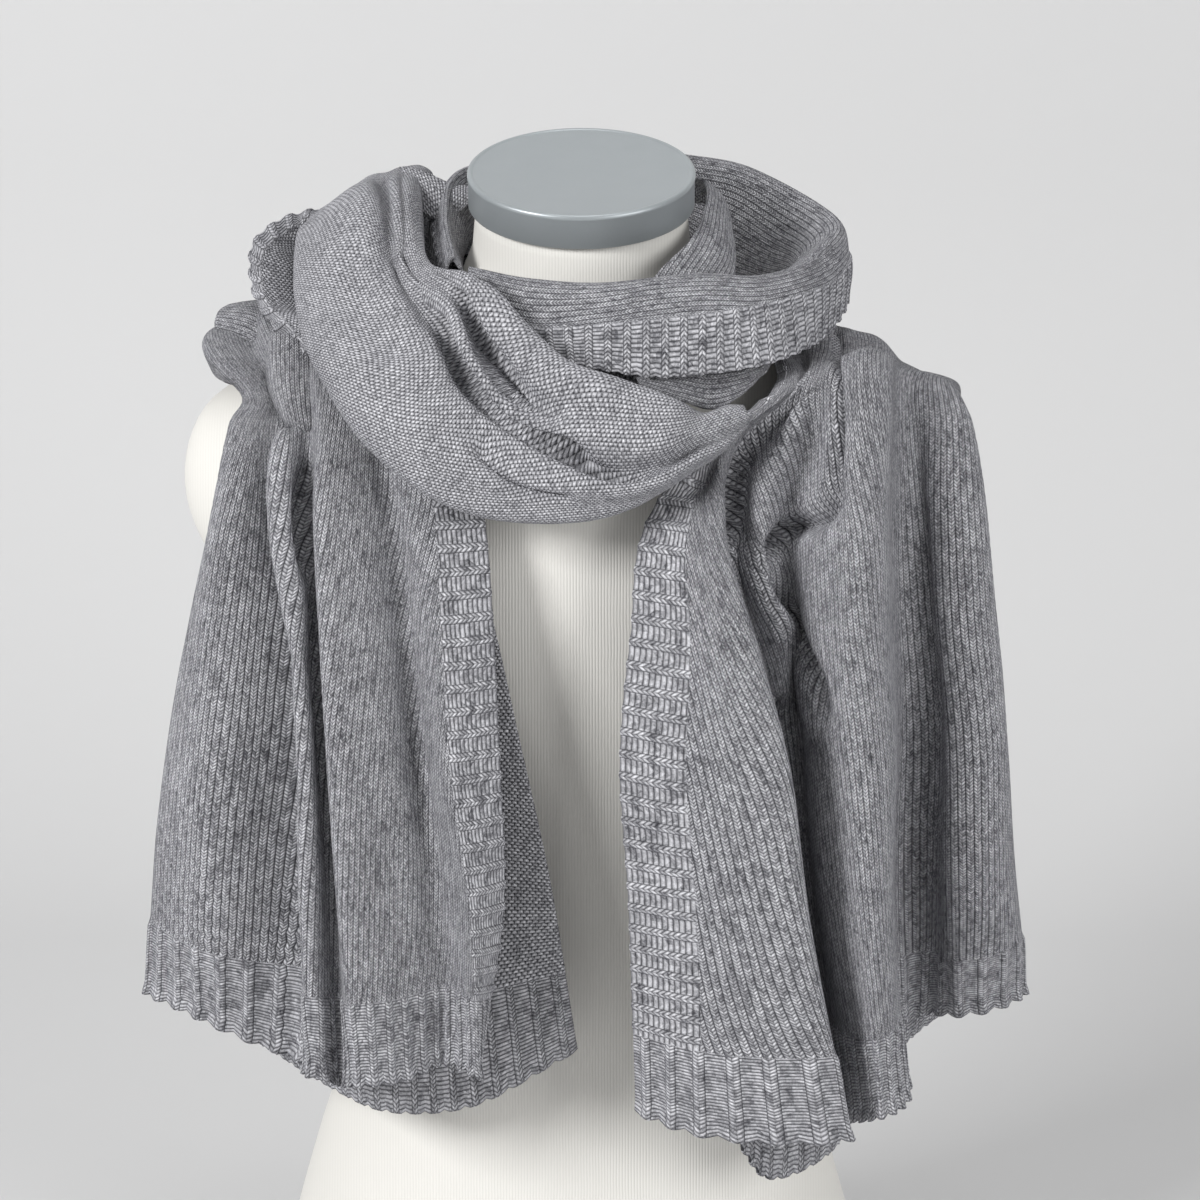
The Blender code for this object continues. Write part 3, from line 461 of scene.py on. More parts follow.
COWL_CREASES = tuple(Crease(*row) for row in (
    ("long crease", -12.0, 4.5, ((30, 108), (33, 126), (37, 156), (42, 181), (42, 209), (39, 237),
     (38, 264), (43, 287), (50, 302), (54, 330))),
    ("low end of the long crease", -5.0, 4.0, ((41, 195), (41, 215), (39, 240), (39, 264),
     (43, 287), (50, 305), (56, 335))),
    ("below the rolled edge", -9.5, 3.8, ((14, 140), (20, 164), (26, 186), (28, 209), (28, 229),
     (28, 248), (29, 265), (31, 282))),
    ("rolled edge", 5.0, 6.5, ((10, 178), (13, 205), (14, 240), (17, 275), (22, 312))),
    ("shoulder crease", -5.0, 6.0, ((65, 100), (65, 138), (65, 164), (66, 180))),
    ("shoulder ridge", 2.5, 5.0, ((51, 108), (53, 140), (54, 175))),
    ("lower crease", -8.0, 3.6, ((58, 240), (60, 252), (65, 266), (67, 278), (67, 296))),
    ("ridge below the long crease", 6.0, 4.5, ((50, 165), (53, 190), (52, 225), (49, 258),
     (53, 284), (60, 316))),
    ("ridge between the creases", 3.5, 3.5, ((31, 150), (34, 190), (36, 215), (33, 245))),
    ("lower fold", 3.0, 7.0, ((84, 180), (83, 240), (82, 290), (82, 335))),
    ("crown pleat", -2.5, 5.0, ((52, 20), (47, 50), (44, 80), (40, 105))),
    ("crown ridge", 2.5, 5.0, ((38, 14), (34, 50), (32, 84), (28, 112))),
    ("outer pleat", -2.0, 6.0, ((86, 30), (84, 60), (78, 96))),
))
BAND_CREASES = tuple(Crease(*row) for row in (
    ("turn wrinkle", -1.8, 2.2, ((34, 205), (44, 212), (56, 216))),
    ("turn wrinkle behind", -1.6, 2.2, ((34, 222), (46, 228), (58, 230))),
))


def smooth_step(low: float, high: float, value: np.ndarray) -> np.ndarray:
    """Ramp from 0 at low to 1 at high, flat at both ends; low may be above high."""
    t = np.clip((value - low) / (high - low), 0.0, 1.0)
    return t * t * (3.0 - 2.0 * t)


def through_points(knots: np.ndarray, values: np.ndarray, places: np.ndarray) -> np.ndarray:
    """Read a smooth curve that passes through values at knots.

    Args:
        knots: Rising places of the given values.
        values: One value, or row of values, for each knot.
        places: Where the curve is read.

    Returns:
        The curve's values at places.
    """
    steps = np.diff(knots)
    shape = (-1,) + (1,) * (values.ndim - 1)
    slopes = np.diff(values, axis=0) / steps.reshape(shape)
    before, after = steps[:-1].reshape(shape), steps[1:].reshape(shape)
    tangents = np.empty_like(values)
    tangents[1:-1] = (slopes[:-1] * after + slopes[1:] * before) / (before + after)
    tangents[0], tangents[-1] = slopes[0], slopes[-1]
    cell = np.clip(np.searchsorted(knots, places, side="right") - 1, 0, len(knots) - 2)
    width = steps[cell].reshape(shape)
    t = ((places - knots[cell]) / steps[cell]).reshape(shape)
    start = ((2 * t**3 - 3 * t**2 + 1) * values[cell]
             + (t**3 - 2 * t**2 + t) * width * tangents[cell])
    end = (3 * t**2 - 2 * t**3) * values[cell + 1] + (t**3 - t**2) * width * tangents[cell + 1]
    return start + end


def spaced(start: float, end: float, step: float) -> np.ndarray:
    """Places from start to end, about one step apart."""
    return np.linspace(start, end, max(1, round((end - start) / step)) + 1)


class KnitSurface:
    """A smooth sheet through a net of points, read by millimetres across and along it."""

    STEP = 0.5
    PROBES = 120

    def __init__(self, net: np.ndarray) -> None:
        """Space the net's knots by the mean length between neighbouring rows."""
        self.net = net
        self.across_knots = self._knots(0)
        self.along_knots = self._knots(1)
        probe = np.linspace(0.0, self.length, self.PROBES)
        lines = self.points(np.linspace(0.0, self.width, self.PROBES), probe)
        real_width = np.linalg.norm(np.diff(lines, axis=0), axis=2).sum(axis=0)
        self._probe, self._real_width = probe, real_width

    def _knots(self, axis: int) -> np.ndarray:
        """Knots along one axis of the net."""
        lengths = np.linalg.norm(np.diff(self.net, axis=axis), axis=2).mean(axis=1 - axis)
        return np.concatenate(([0.0], np.cumsum(lengths)))

    @property
    def width(self) -> float:
        """Mean width in millimetres."""
        return float(self.across_knots[-1])

    @property
    def length(self) -> float:
        """Mean length in millimetres."""
        return float(self.along_knots[-1])

    def points(self, across: np.ndarray, along: np.ndarray) -> np.ndarray:
        """The surface's points on the grid of across and along places."""
        rows = through_points(self.along_knots, self.net.transpose(1, 0, 2), along)
        return through_points(self.across_knots, rows.transpose(1, 0, 2), across)

    def directions(self, across: np.ndarray, along: np.ndarray) -> Pair:
        """Unit vectors along the sheet and out of it, on the same grid."""
        side = self.points(across + self.STEP, along) - self.points(across - self.STEP, along)
        run = self.points(across, along + self.STEP) - self.points(across, along - self.STEP)
        out = np.cross(side, run)
        run /= np.linalg.norm(run, axis=2, keepdims=True)
        out /= np.linalg.norm(out, axis=2, keepdims=True)
        return run, out

    def real_width(self, along: np.ndarray) -> np.ndarray:
        """Length of the sheet's rows, measured over all its folds."""
        return np.interp(along, self._probe, self._real_width)

    def gauge_scale(self, along: np.ndarray) -> np.ndarray:
        """Real width over mean width, evened half way, so that stitches stay about one size."""
        return 0.5 * (self.real_width(along) + self._real_width.mean()) / self.width


def table_surface(stations: Sequence[tuple]) -> KnitSurface:
    """A surface whose net is a table's columns, one row for each cut."""
    net = np.array([[list(place) for place in station[1:]] for station in stations], dtype=float)
    return KnitSurface(net.transpose(1, 0, 2))


def from_ridge(phase: np.ndarray) -> np.ndarray:
    """Distance from the middle of the nearest rib, in ribs."""
    return np.abs(phase - np.floor(phase) - 0.5)


def scallops(phase: np.ndarray) -> np.ndarray:
    """Rounded lobes, 0 to 1, that meet in notches between the ribs."""
    return 1.0 - (2.0 * from_ridge(phase))**2


def rib_profile(phase: np.ndarray) -> np.ndarray:
    """Height of the rib, 0 to 1, over its pitch: a knit ridge beside a purl recess."""
    return 1.0 - smooth_step(RIDGE_FLAT, RIDGE_FOOT, from_ridge(phase))


@dataclass
class Undulation:
    """Slow unevenness of the cloth: a few long waves of seeded phase."""

    seed: int
    height: float = 1.0
    across_wave: float = 46.0
    along_wave: float = 150.0
    waves: int = 5
    bend: float = 0.8
    spread: tuple[float, float] = (0.6, 1.6)

    def relief(self, across: np.ndarray, along: np.ndarray) -> np.ndarray:
        """Height over the sheet, in millimetres."""
        draw = np.random.RandomState(self.seed)
        total = np.zeros(np.broadcast(across, along).shape)
        for _ in range(self.waves):
            fast, slow = draw.uniform(*self.spread, 2)
            phase, drift = draw.uniform(0.0, 2 * pi, 2)
            bend = self.bend * np.sin(2 * pi * slow * along / self.along_wave + drift)
            total += np.sin(2 * pi * fast * across / self.across_wave + phase + bend)
        return total * self.height / self.waves


def crease_relief(creases: Sequence[Crease], across: np.ndarray, along: np.ndarray) -> np.ndarray:
    """Sum of the creases' troughs and ridges over the sheet, in millimetres.

    Args:
        creases: The creases, each fading out towards both ends of its path.
        across: Places across the sheet.
        along: Places along the sheet.

    Returns:
        The height at each pair of places.
    """
    total = np.zeros(np.broadcast(across, along).shape)
    for crease in creases:
        knots = np.arange(len(crease.path), dtype=float)
        t = np.linspace(0.0, knots[-1], CREASE_PROBES * len(crease.path))
        places = through_points(knots, np.array(crease.path, dtype=float), t)
        strength = 1.0 - np.abs(2.0 * t / knots[-1] - 1.0)**4
        nearest = np.full(total.shape, np.inf)
        fade = np.zeros(total.shape)
        for (a, b), power in zip(places, strength):
            gap = (across - a)**2 + (along - b)**2
            closer = gap < nearest
            nearest = np.where(closer, gap, nearest)
            fade = np.where(closer, power, fade)
        total += crease.height * fade * np.exp(-nearest / crease.width**2)
    return total


class Wiring:
    """Short calls that lay and join the nodes of one shader tree."""

    def __init__(self, tree: NodeTree) -> None:
        """Work in the given tree."""
        self.tree = tree

    def add(self, kind: str, **settings: object) -> Node:
        """A new node of a kind, with its own properties set."""
        node = self.tree.nodes.new(kind)
        for key, value in settings.items():
            setattr(node, key, value)
        return node

    def feed(self, target: NodeSocket, source: object) -> None:
        """Join a socket to a target, or set the target to a plain value."""
        if isinstance(source, NodeSocket):
            self.tree.links.new(source, target)
        else:
            target.default_value = source

    def group(self, tree: NodeTree, vector: NodeSocket) -> Sequence[NodeSocket]:
        """The outputs of a group that is fed with a vector."""
        node = self.add("ShaderNodeGroup", node_tree=tree)
        self.feed(node.inputs[0], vector)
        return node.outputs

    def math(self, operation: str, *values: object, clamp: bool = False) -> NodeSocket:
        """The result of a Math node."""
        node = self.add("ShaderNodeMath", operation=operation, use_clamp=clamp)
        for index, value in enumerate(values):
            self.feed(node.inputs[index], value)
        return node.outputs[0]

    def product(self, first: object, second: object) -> NodeSocket:
        """The two values multiplied."""
        return self.math("MULTIPLY", first, second)

    def from_middle(self, value: object) -> NodeSocket:
        """Distance, with its sign, from the middle of the whole cell that a value is in."""
        return self.math("SUBTRACT", self.math("FRACT", value), 0.5)

    def around(self, value: object, spread: float, middle: object,
               clamp: bool = False) -> NodeSocket:
        """A 0 to 1 value's distance from 0.5, spread and set around a middle."""
        centred = self.math("SUBTRACT", value, 0.5)
        return self.math("MULTIPLY_ADD", centred, spread, middle, clamp=clamp)

    def bump_from(self, value: object, half_width: float) -> NodeSocket:
        """1 - (value / half_width) squared, kept above 0."""
        share = self.math("DIVIDE", value, half_width)
        return self.math("SUBTRACT", 1.0, self.product(share, share), clamp=True)

    def mix(self, factor: object, first: object, second: object,
            kind: str = "FLOAT") -> NodeSocket:
        """A Mix node's result, of values or of colours."""
        node = self.add("ShaderNodeMix", data_type=kind)
        first_index, second_index, out_index = (2, 3, 0) if kind == "FLOAT" else (6, 7, 2)
        self.feed(node.inputs[0], factor)
        self.feed(node.inputs[first_index], first)
        self.feed(node.inputs[second_index], second)
        return node.outputs[out_index]

    def noise(self, vector: object, scale: float, detail: float = 2.0,
              roughness: float = 0.5) -> NodeSocket:
        """A noise texture's value."""
        node = self.add("ShaderNodeTexNoise")
        self.feed(node.inputs["Vector"], vector)
        node.inputs["Scale"].default_value = scale
        node.inputs["Detail"].default_value = detail
        node.inputs["Roughness"].default_value = roughness
        return node.outputs["Fac"]

    def stretched(self, vector: NodeSocket, scale: Point) -> NodeSocket:
        """A vector with its parts scaled."""
        node = self.add("ShaderNodeMapping")
        node.inputs["Scale"].default_value = scale
        self.feed(node.inputs["Vector"], vector)
        return node.outputs[0]

    def split(self, vector: object) -> tuple[NodeSocket, NodeSocket]:
        """The first two parts of a vector."""
        node = self.add("ShaderNodeSeparateXYZ")
        self.feed(node.inputs[0], vector)
        return node.outputs[0], node.outputs[1]

    def per_cell(self, across: object, along: object) -> NodeSocket:
        """A random value, 0 to 1, for each whole cell of two values."""
        cell = self.add("ShaderNodeCombineXYZ")
        self.feed(cell.inputs[0], self.math("FLOOR", across))
        self.feed(cell.inputs[1], self.math("FLOOR", along))
        random = self.add("ShaderNodeTexWhiteNoise", noise_dimensions="2D")
        self.feed(random.inputs["Vector"], cell.outputs[0])
        return random.outputs["Value"]


class MaterialWiring(Wiring):
    """A new material, and the wiring around its Principled shader."""

    def __init__(self, name: str) -> None:
        """Make the material."""
        self.material = bpy.data.materials.new(name)
        self.material.use_nodes = True
        super().__init__(self.material.node_tree)
        self.shader = self.tree.nodes["Principled BSDF"]

    def give(self, **inputs: object) -> None:
        """Feed the shader's inputs, named with _ for each space."""
        for key, source in inputs.items():
            self.feed(self.shader.inputs[key.replace("_", " ")], source)

    def place(self) -> NodeSocket:
        """Place on the object."""
        return self.add("ShaderNodeTexCoord").outputs["Object"]

    def bump(self, height: NodeSocket, depth: float, strength: float = 1.0) -> None:
        """Tip the shader's normal by a height that is depth millimetres deep."""
        node = self.add("ShaderNodeBump")
        node.inputs["Strength"].default_value = strength
        node.inputs["Distance"].default_value = depth * MM
        self.feed(node.inputs["Height"], height)
        self.give(Normal=node.outputs[0])


class StitchGroups:
    """The shader groups that every knitted material shares, each made once."""

    LEG_PLACE, LEG_HALF = 0.41, 0.56
    ROW_HALF, ROW_LIFT = 0.52, 0.72
    WALE_HALF, KNIT_SLOPE = 0.5, 0.95
    RIDGE_HALF, RIDGE_SLOPE = 0.19, 0.8
    BAR_HALF, BAR_HEIGHT = 0.5, 0.8
    PURL_ROWS = ((0.0, 0.55, 0.28), (0.5, 0.52, 0.25))
    PURL_ARC = 0.4
    FIBRES, FIBRE_SHARE = (900.0, 3.0, 0.7), 0.62
    FLECKS, FLECK_SHARE = (260.0, 2.0, 0.6), 0.18
    CLOUDS, CLOUD_SHARE = (34.0, 2.0, 0.5), 0.2
    FUZZ = (2600.0, 2.0, 0.6)

    def __init__(self) -> None:
        """Make the groups."""
        self.knit = self._group("knit stitches", ("Height", "Fleck"), self._knit)
        self.purl = self._group("purl bumps", ("Height", "Fleck"), self._purl)
        self.rib = self._group("rib stitches", ("Height", "Fleck"), self._rib)
        self.melange = self._group("melange fibres", ("Tone", "Fuzz"), self._melange)

    @staticmethod
    def _group(name: str, outputs: Sequence[str], wire: Callable) -> NodeTree:
        """A group with a vector in and two values out, which wire makes from the vector."""
        tree = bpy.data.node_groups.new(name, "ShaderNodeTree")
        tree.interface.new_socket("Vector", in_out="INPUT", socket_type="NodeSocketVector")
        for output in outputs:
            tree.interface.new_socket(output, in_out="OUTPUT", socket_type="NodeSocketFloat")
        w = Wiring(tree)
        given, made = w.add("NodeGroupInput"), w.add("NodeGroupOutput")
        for index, value in enumerate(wire(w, given.outputs[0])):
            w.feed(made.inputs[index], value)
        return tree

    def _legs(self, w: Wiring, from_middle: NodeSocket, half_width: float, along: NodeSocket,
              slope: float) -> tuple[NodeSocket, NodeSocket]:
        """Height of the two legs of a knit stitch, and the row that each point is in."""
        share = w.math("DIVIDE", from_middle, half_width)
        leg = w.bump_from(w.math("SUBTRACT", share, self.LEG_PLACE), self.LEG_HALF)
        row = w.math("SUBTRACT", along, w.product(share, slope))
        ridge = w.bump_from(w.from_middle(row), self.ROW_HALF)
        lift = w.math("MULTIPLY_ADD", ridge, self.ROW_LIFT, 1.0 - self.ROW_LIFT)
        return w.product(w.math("SQRT", leg), lift), row

    def _knit(self, w: Wiring, vector: NodeSocket) -> tuple[NodeSocket, NodeSocket]:
        """Columns of V stitches, in stitch units."""
        across, along = w.split(vector)
        middle = w.math("ABSOLUTE", w.from_middle(across))
        height, row = self._legs(w, middle, self.WALE_HALF, along, self.KNIT_SLOPE)
        return height, w.per_cell(w.product(across, 2.0), row)

    def _purl(self, w: Wiring, vector: NodeSocket) -> tuple[NodeSocket, NodeSocket]:
        """Rows of purl bumps set like bricks, in stitch units."""
        across, along = w.split(vector)
        heights = []
        pairs = w.product(along, 0.5)
        for shift, half_width, half_height in self.PURL_ROWS:
            x = w.from_middle(w.math("ADD", across, shift))
            arc = w.product(w.product(x, x), self.PURL_ARC)
            y = w.from_middle(w.math("ADD", w.math("ADD", pairs, shift), arc))
            heights.append(w.product(w.bump_from(x, half_width), w.bump_from(y, half_height)))
        height = w.math("SQRT", w.math("MAXIMUM", *heights))
        return height, w.per_cell(w.product(across, 2.0), w.product(along, 2.0))

    def _rib(self, w: Wiring, vector: NodeSocket) -> tuple[NodeSocket, NodeSocket]:
        """A ridge of knit stitches beside a recess of purl bars; across is in ribs."""
        across, along = w.split(vector)
        from_ridge_line = w.math("ABSOLUTE", w.from_middle(across))
        ridge_height, row = self._legs(w, from_ridge_line, self.RIDGE_HALF, along,
                                       self.RIDGE_SLOPE)
        bar = w.math("SQRT", w.bump_from(w.from_middle(along), self.BAR_HALF))
        on_ridge = w.math("LESS_THAN", from_ridge_line, self.RIDGE_HALF)
        height = w.mix(on_ridge, w.product(bar, self.BAR_HEIGHT), ridge_height)
        return height, w.per_cell(w.product(across, 4.0), row)

    def _melange(self, w: Wiring, vector: NodeSocket) -> tuple[NodeSocket, NodeSocket]:
        """Mixed light and dark fibres, and broad cloudiness, by place on the object."""
        flecks = w.product(w.noise(vector, *self.FLECKS), self.FLECK_SHARE)
        tone = w.math("MULTIPLY_ADD", w.noise(vector, *self.FIBRES), self.FIBRE_SHARE, flecks)
        clouds = w.noise(vector, *self.CLOUDS)
        return (w.math("MULTIPLY_ADD", clouds, self.CLOUD_SHARE, tone),
                w.noise(vector, *self.FUZZ))


@dataclass(frozen=True)
class KnitYarn:
    """Grey melange yarn, knitted: its colours, the painted shade in its gaps and the depth of its
    stitches.
    """

    # gap is painted shade: the near-black colour laid in the hollows between and within stitches
    gap: Colour = (0.018, 0.018, 0.022, 1.0)
    dark: Colour = (0.10, 0.10, 0.112, 1.0)
    light: Colour = (0.82, 0.82, 0.86, 1.0)
    middle_tone: float = 0.57
    melange: float = 2.3
    streak_stretch: Point = (1.0, 0.13, 1.0)
    streak_noise: Point = (1.1, 2.0, 0.6)
    knit_streaks: float = 1.4
    purl_streaks: float = 0.6
    flecks: float = 0.5
    # How sharply the painted gap shade gives way to the yarn's colour
    gap_shade_edge: float = 1.3
    stitch_depth: float = 1.3
    fuzz_depth: float = 0.12
    roughness: float = 0.93
    specular: float = 0.2
    sheen: float = 0.25
    sheen_roughness: float = 0.5
    sheen_tint: Colour = (0.9, 0.9, 1.0, 1.0)

    def material(self, name: str, groups: StitchGroups, side: Side) -> Material:
        """The yarn in knit or purl stitches, painted shade in their gaps, ribs where the zone map
        says.

        Args:
            name: The material's name.
            groups: The shared shader groups.
            side: Which side of the knitting this face shows.

        Returns:
            The new material.
        """
        w = MaterialWiring(name)
        stitches, ribs, zones = (w.add("ShaderNodeUVMap", uv_map=key).outputs[0]
                                 for key in ("stitches", "ribs", "zone"))
        stitch = w.group(groups.knit if side is Side.KNIT else groups.purl, stitches)
        rib = w.group(groups.rib, ribs)
        zone = w.split(zones)[0]
        height, fleck = (w.mix(zone, stitch[index], rib[index]) for index in (0, 1))
        melange = w.group(groups.melange, w.place())
        streaks = w.noise(w.stretched(stitches, self.streak_stretch), *self.streak_noise)
        streakiness = self.knit_streaks if side is Side.KNIT else self.purl_streaks
        tone = w.around(melange[0], self.melange, self.middle_tone)
        tone = w.around(streaks, streakiness, tone)
        tone = w.around(fleck, self.flecks, tone, clamp=True)
        yarn = w.mix(tone, self.dark, self.light, "RGBA")
        # Painted shade: where the stitch height is low, in the gaps between legs, bars and bumps,
        # the colour turns to the near-black gap colour
        lit = w.math("POWER", height, self.gap_shade_edge, clamp=True)
        w.bump(w.math("MULTIPLY_ADD", melange[1], self.fuzz_depth, height), self.stitch_depth)
        w.give(Base_Color=w.mix(lit, self.gap, yarn, "RGBA"), Roughness=self.roughness,
               Specular_IOR_Level=self.specular, Sheen_Weight=self.sheen,
               Sheen_Roughness=self.sheen_roughness, Sheen_Tint=self.sheen_tint)
        return w.material


@dataclass(frozen=True)
class FormJersey:
    """Fine ribbed off-white jersey stretched over the dress form."""

    cloth: Colour = (0.80, 0.785, 0.745, 1.0)
    # line is painted shade: the darker colour of the grooves between the ribs
    line: Colour = (0.69, 0.675, 0.635, 1.0)
    rib_pitch: float = 1.6
    wobble: float = 0.5
    wobble_scale: float = 45.0
    facing_edge: float = 1.5
    clouds: float = 0.35
    cloud_noise: Point = (18.0, 3.0, 0.6)
    contrast: float = 0.8
    threads: float = 0.3
    thread_noise: Point = (1500.0, 2.0, 0.6)
    bump_depth: float = 0.25
    bump_strength: float = 0.5
    roughness: float = 0.82
    sheen: float = 0.15

    def material(self) -> Material:
        """Upright fine ribs with painted shade in their grooves, fading towards the form's sides,
        and a soft uneven tone.
        """
        w = MaterialWiring("form_jersey")
        place = w.place()
        wobble = w.product(w.noise(place, self.wobble_scale), self.wobble)
        lines = w.math("MULTIPLY_ADD", w.split(place)[0], 1.0 / (self.rib_pitch * MM), wobble)
        rib = w.bump_from(w.from_middle(lines), 0.5)
        facing = w.split(w.add("ShaderNodeNewGeometry").outputs["Normal"])[1]
        shown = w.math("POWER", w.math("ABSOLUTE", facing, clamp=True), self.facing_edge,
                       clamp=True)
        # Where the ribs fade towards the sides, the whole surface takes the darker line colour of
        # the painted groove shade
        ribs = w.product(rib, shown)
        # worn adds random cloudiness to the ribs, whose grooves carry painted shade
        worn = w.math("MULTIPLY_ADD", w.noise(place, *self.cloud_noise), self.clouds, ribs)
        tone = w.math("MULTIPLY", worn, self.contrast, clamp=True)
        threads = w.noise(place, *self.thread_noise)
        w.bump(w.math("MULTIPLY_ADD", threads, self.threads, ribs), self.bump_depth,
               self.bump_strength)
        w.give(Base_Color=w.mix(tone, self.line, self.cloth, "RGBA"), Roughness=self.roughness,
               Sheen_Weight=self.sheen)
        return w.material


@dataclass(frozen=True)
class SatinMetal:
    """Satin grey metal with a fine brushed grain."""

    colour: Colour = (0.33, 0.36, 0.375, 1.0)
    worn: Colour = (0.41, 0.44, 0.455, 1.0)
    metallic: float = 0.45
    grain_stretch: Point = (1.0, 0.06, 1.0)
    grain_noise: Point = (1900.0, 2.0, 0.6)
    cloud_noise: Point = (60.0, 3.0, 0.6)
    grain_share: float = 0.5
    roughness: float = 0.30
    uneven_roughness: float = 0.16
    bump_depth: float = 0.08
    bump_strength: float = 0.25

    def material(self) -> Material:
        """Grain across the disc and upright on the edge, slightly cloudy."""
        w = MaterialWiring("cap_metal")
        place = w.place()
        grain = w.noise(w.stretched(place, self.grain_stretch), *self.grain_noise)
        clouds = w.product(w.noise(place, *self.cloud_noise), 1.0 - self.grain_share)
        tone = w.math("MULTIPLY_ADD", grain, self.grain_share, clouds)
        w.bump(grain, self.bump_depth, self.bump_strength)
        w.give(Base_Color=w.mix(tone, self.colour, self.worn, "RGBA"), Metallic=self.metallic,
               Roughness=w.math("MULTIPLY_ADD", tone, self.uneven_roughness, self.roughness))
        return w.material


def finished_mesh(name: str, shape: bmesh.types.BMesh) -> Mesh:
    """Turn a shape into a mesh, and free the shape."""
    mesh = bpy.data.meshes.new(name)
    shape.to_mesh(mesh)
    shape.free()
    return mesh


def new_object(name: str, mesh: Mesh, *materials: Material) -> Object:
    """Link a mesh to the scene as a smooth-shaded object of these materials."""
    for material in materials:
        mesh.materials.append(material)
    mesh.shade_smooth()
    item = bpy.data.objects.new(name, mesh)
    bpy.context.scene.collection.objects.link(item)
    return item


def settle(item: Object, nodes: Sequence[str]) -> Object:
    """Let a finished piece ride on the root and stand for its solids."""
    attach(item, "root")
    if nodes:
        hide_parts(*nodes)
    log.info("%s: %d faces, stands for %s", item.name, len(item.data.polygons), list(nodes))
    return item


@dataclass
class KnitFinish:
    """The two materials of a sheet, for its front and its back."""

    front: Material
    back: Material


@dataclass
class SheetPattern:
    """What the stitches do on one sheet, by place across and along it."""

    relief: Callable[[np.ndarray, np.ndarray], np.ndarray]
    shift: Callable[[np.ndarray, np.ndarray], Pair]
    rib_places: Callable[[np.ndarray, np.ndarray, np.ndarray], Pair]
    rib_zone: Callable[[np.ndarray, np.ndarray], np.ndarray]


@dataclass
class KnitSheet:
    """One stretch of the stole as a thin shell on its surface."""

    TURN_PROBES: ClassVar[int] = 400

    name: str
    surface: KnitSurface
    across: np.ndarray
    along: np.ndarray
    face: int
    pattern: SheetPattern
    nodes: Sequence[str]
    flat: tuple[float, float]
    rests_on: Sequence[str]
    on_bias: bool = False

    def build(self, finish: KnitFinish) -> Object:
        """Make the grid, lay it on the surface, map its stitches and give it a wall.

        Args:
            finish: The materials of its two sides.

        Returns:
            The finished object.
        """
        columns, rows = len(self.across) - 1, len(self.along) - 1
        grid = bmesh.new()
        bmesh.ops.create_grid(grid, x_segments=columns, y_segments=rows, size=0.5)
        if self.face < 0:
            bmesh.ops.reverse_faces(grid, faces=grid.faces[:])
        mesh = finished_mesh(self.name, grid)
        laid = np.empty(len(mesh.vertices) * 3)
        mesh.vertices.foreach_get("co", laid)
        laid = laid.reshape(-1, 3)
        column = np.rint((laid[:, 0] + 0.5) * columns).astype(int)
        row = np.rint((laid[:, 1] + 0.5) * rows).astype(int)
        places = self._places()[column, row]
        mesh.vertices.foreach_set("co", (places * MM).ravel())
        self._map_stitches(mesh, self.across[column], self.along[row])
        mesh.update()
        item = new_object(self.name, mesh, finish.front, finish.back)
        wall = item.modifiers.new("wall", "SOLIDIFY")
        wall.thickness = WALL * MM
        wall.offset = 0.0
        wall.material_offset = 1
        wall.use_rim = True
        settle(item, self.nodes)
        return item

    def _places(self) -> np.ndarray:
        """The grid's points with relief and scallops, in millimetres."""
        a, b = self.across[:, None], self.along[None, :]
        middle = self.surface.points(self.across, self.along)
        run, out = self.surface.directions(self.across, self.along)
        side = np.cross(run, out)
        relief = self.pattern.relief(a, b)[:, :, None]
        lengthwise, sideways = (part[:, :, None] for part in self.pattern.shift(a, b))
        return middle + out * self.face * relief + run * lengthwise + side * sideways

    def _stitch_places(self, a: np.ndarray, b: np.ndarray) -> Pair:
        """Stitch coordinates along the sheet; on the cowl they turn onto the bias."""
        across, along = (a - self.surface.width / 2) * self.surface.gauge_scale(b), b
        if self.on_bias:
            steps = np.linspace(0.0, self.surface.length, self.TURN_PROBES)
            turn = np.radians(np.interp(steps, *zip(*COWL_TURN)))
            run = [np.concatenate(((0.0,), np.cumsum(part[1:] + part[:-1]) * steps[1] / 2))
                   for part in (-np.sin(turn), np.cos(turn))]
            here = np.interp(b, steps, turn)
            across, along = (COWL_GAUGE * (np.interp(b, steps, run[0]) + across * np.cos(here)),
                             np.interp(b, steps, run[1]) + across * np.sin(here))
        return across / WALE_PITCH, along / ROW_PITCH

    def _map_stitches(self, mesh: Mesh, across: np.ndarray,
                      along: np.ndarray) -> None:
        """Write the stitch, rib and zone maps, each face wholly in one zone."""
        corner = np.empty(len(mesh.loops), dtype=int)
        mesh.loops.foreach_get("vertex_index", corner)
        a, b = across[corner], along[corner]
        face_a, face_b = (np.repeat(v.reshape(-1, 4).mean(axis=1), 4) for v in (a, b))
        stitch_u, stitch_v = self._stitch_places(a, b)
        zone = self.pattern.rib_zone(face_a, face_b)
        rib_s, rib_t = self.pattern.rib_places(a, b, face_b)
        for key, first, second in (("stitches", stitch_u, stitch_v),
                                   ("ribs", rib_s, rib_t), ("zone", zone, np.zeros_like(zone))):
            layer = mesh.uv_layers.new(name=key)
            layer.data.foreach_set("uv", np.stack((first, second), axis=1).ravel())


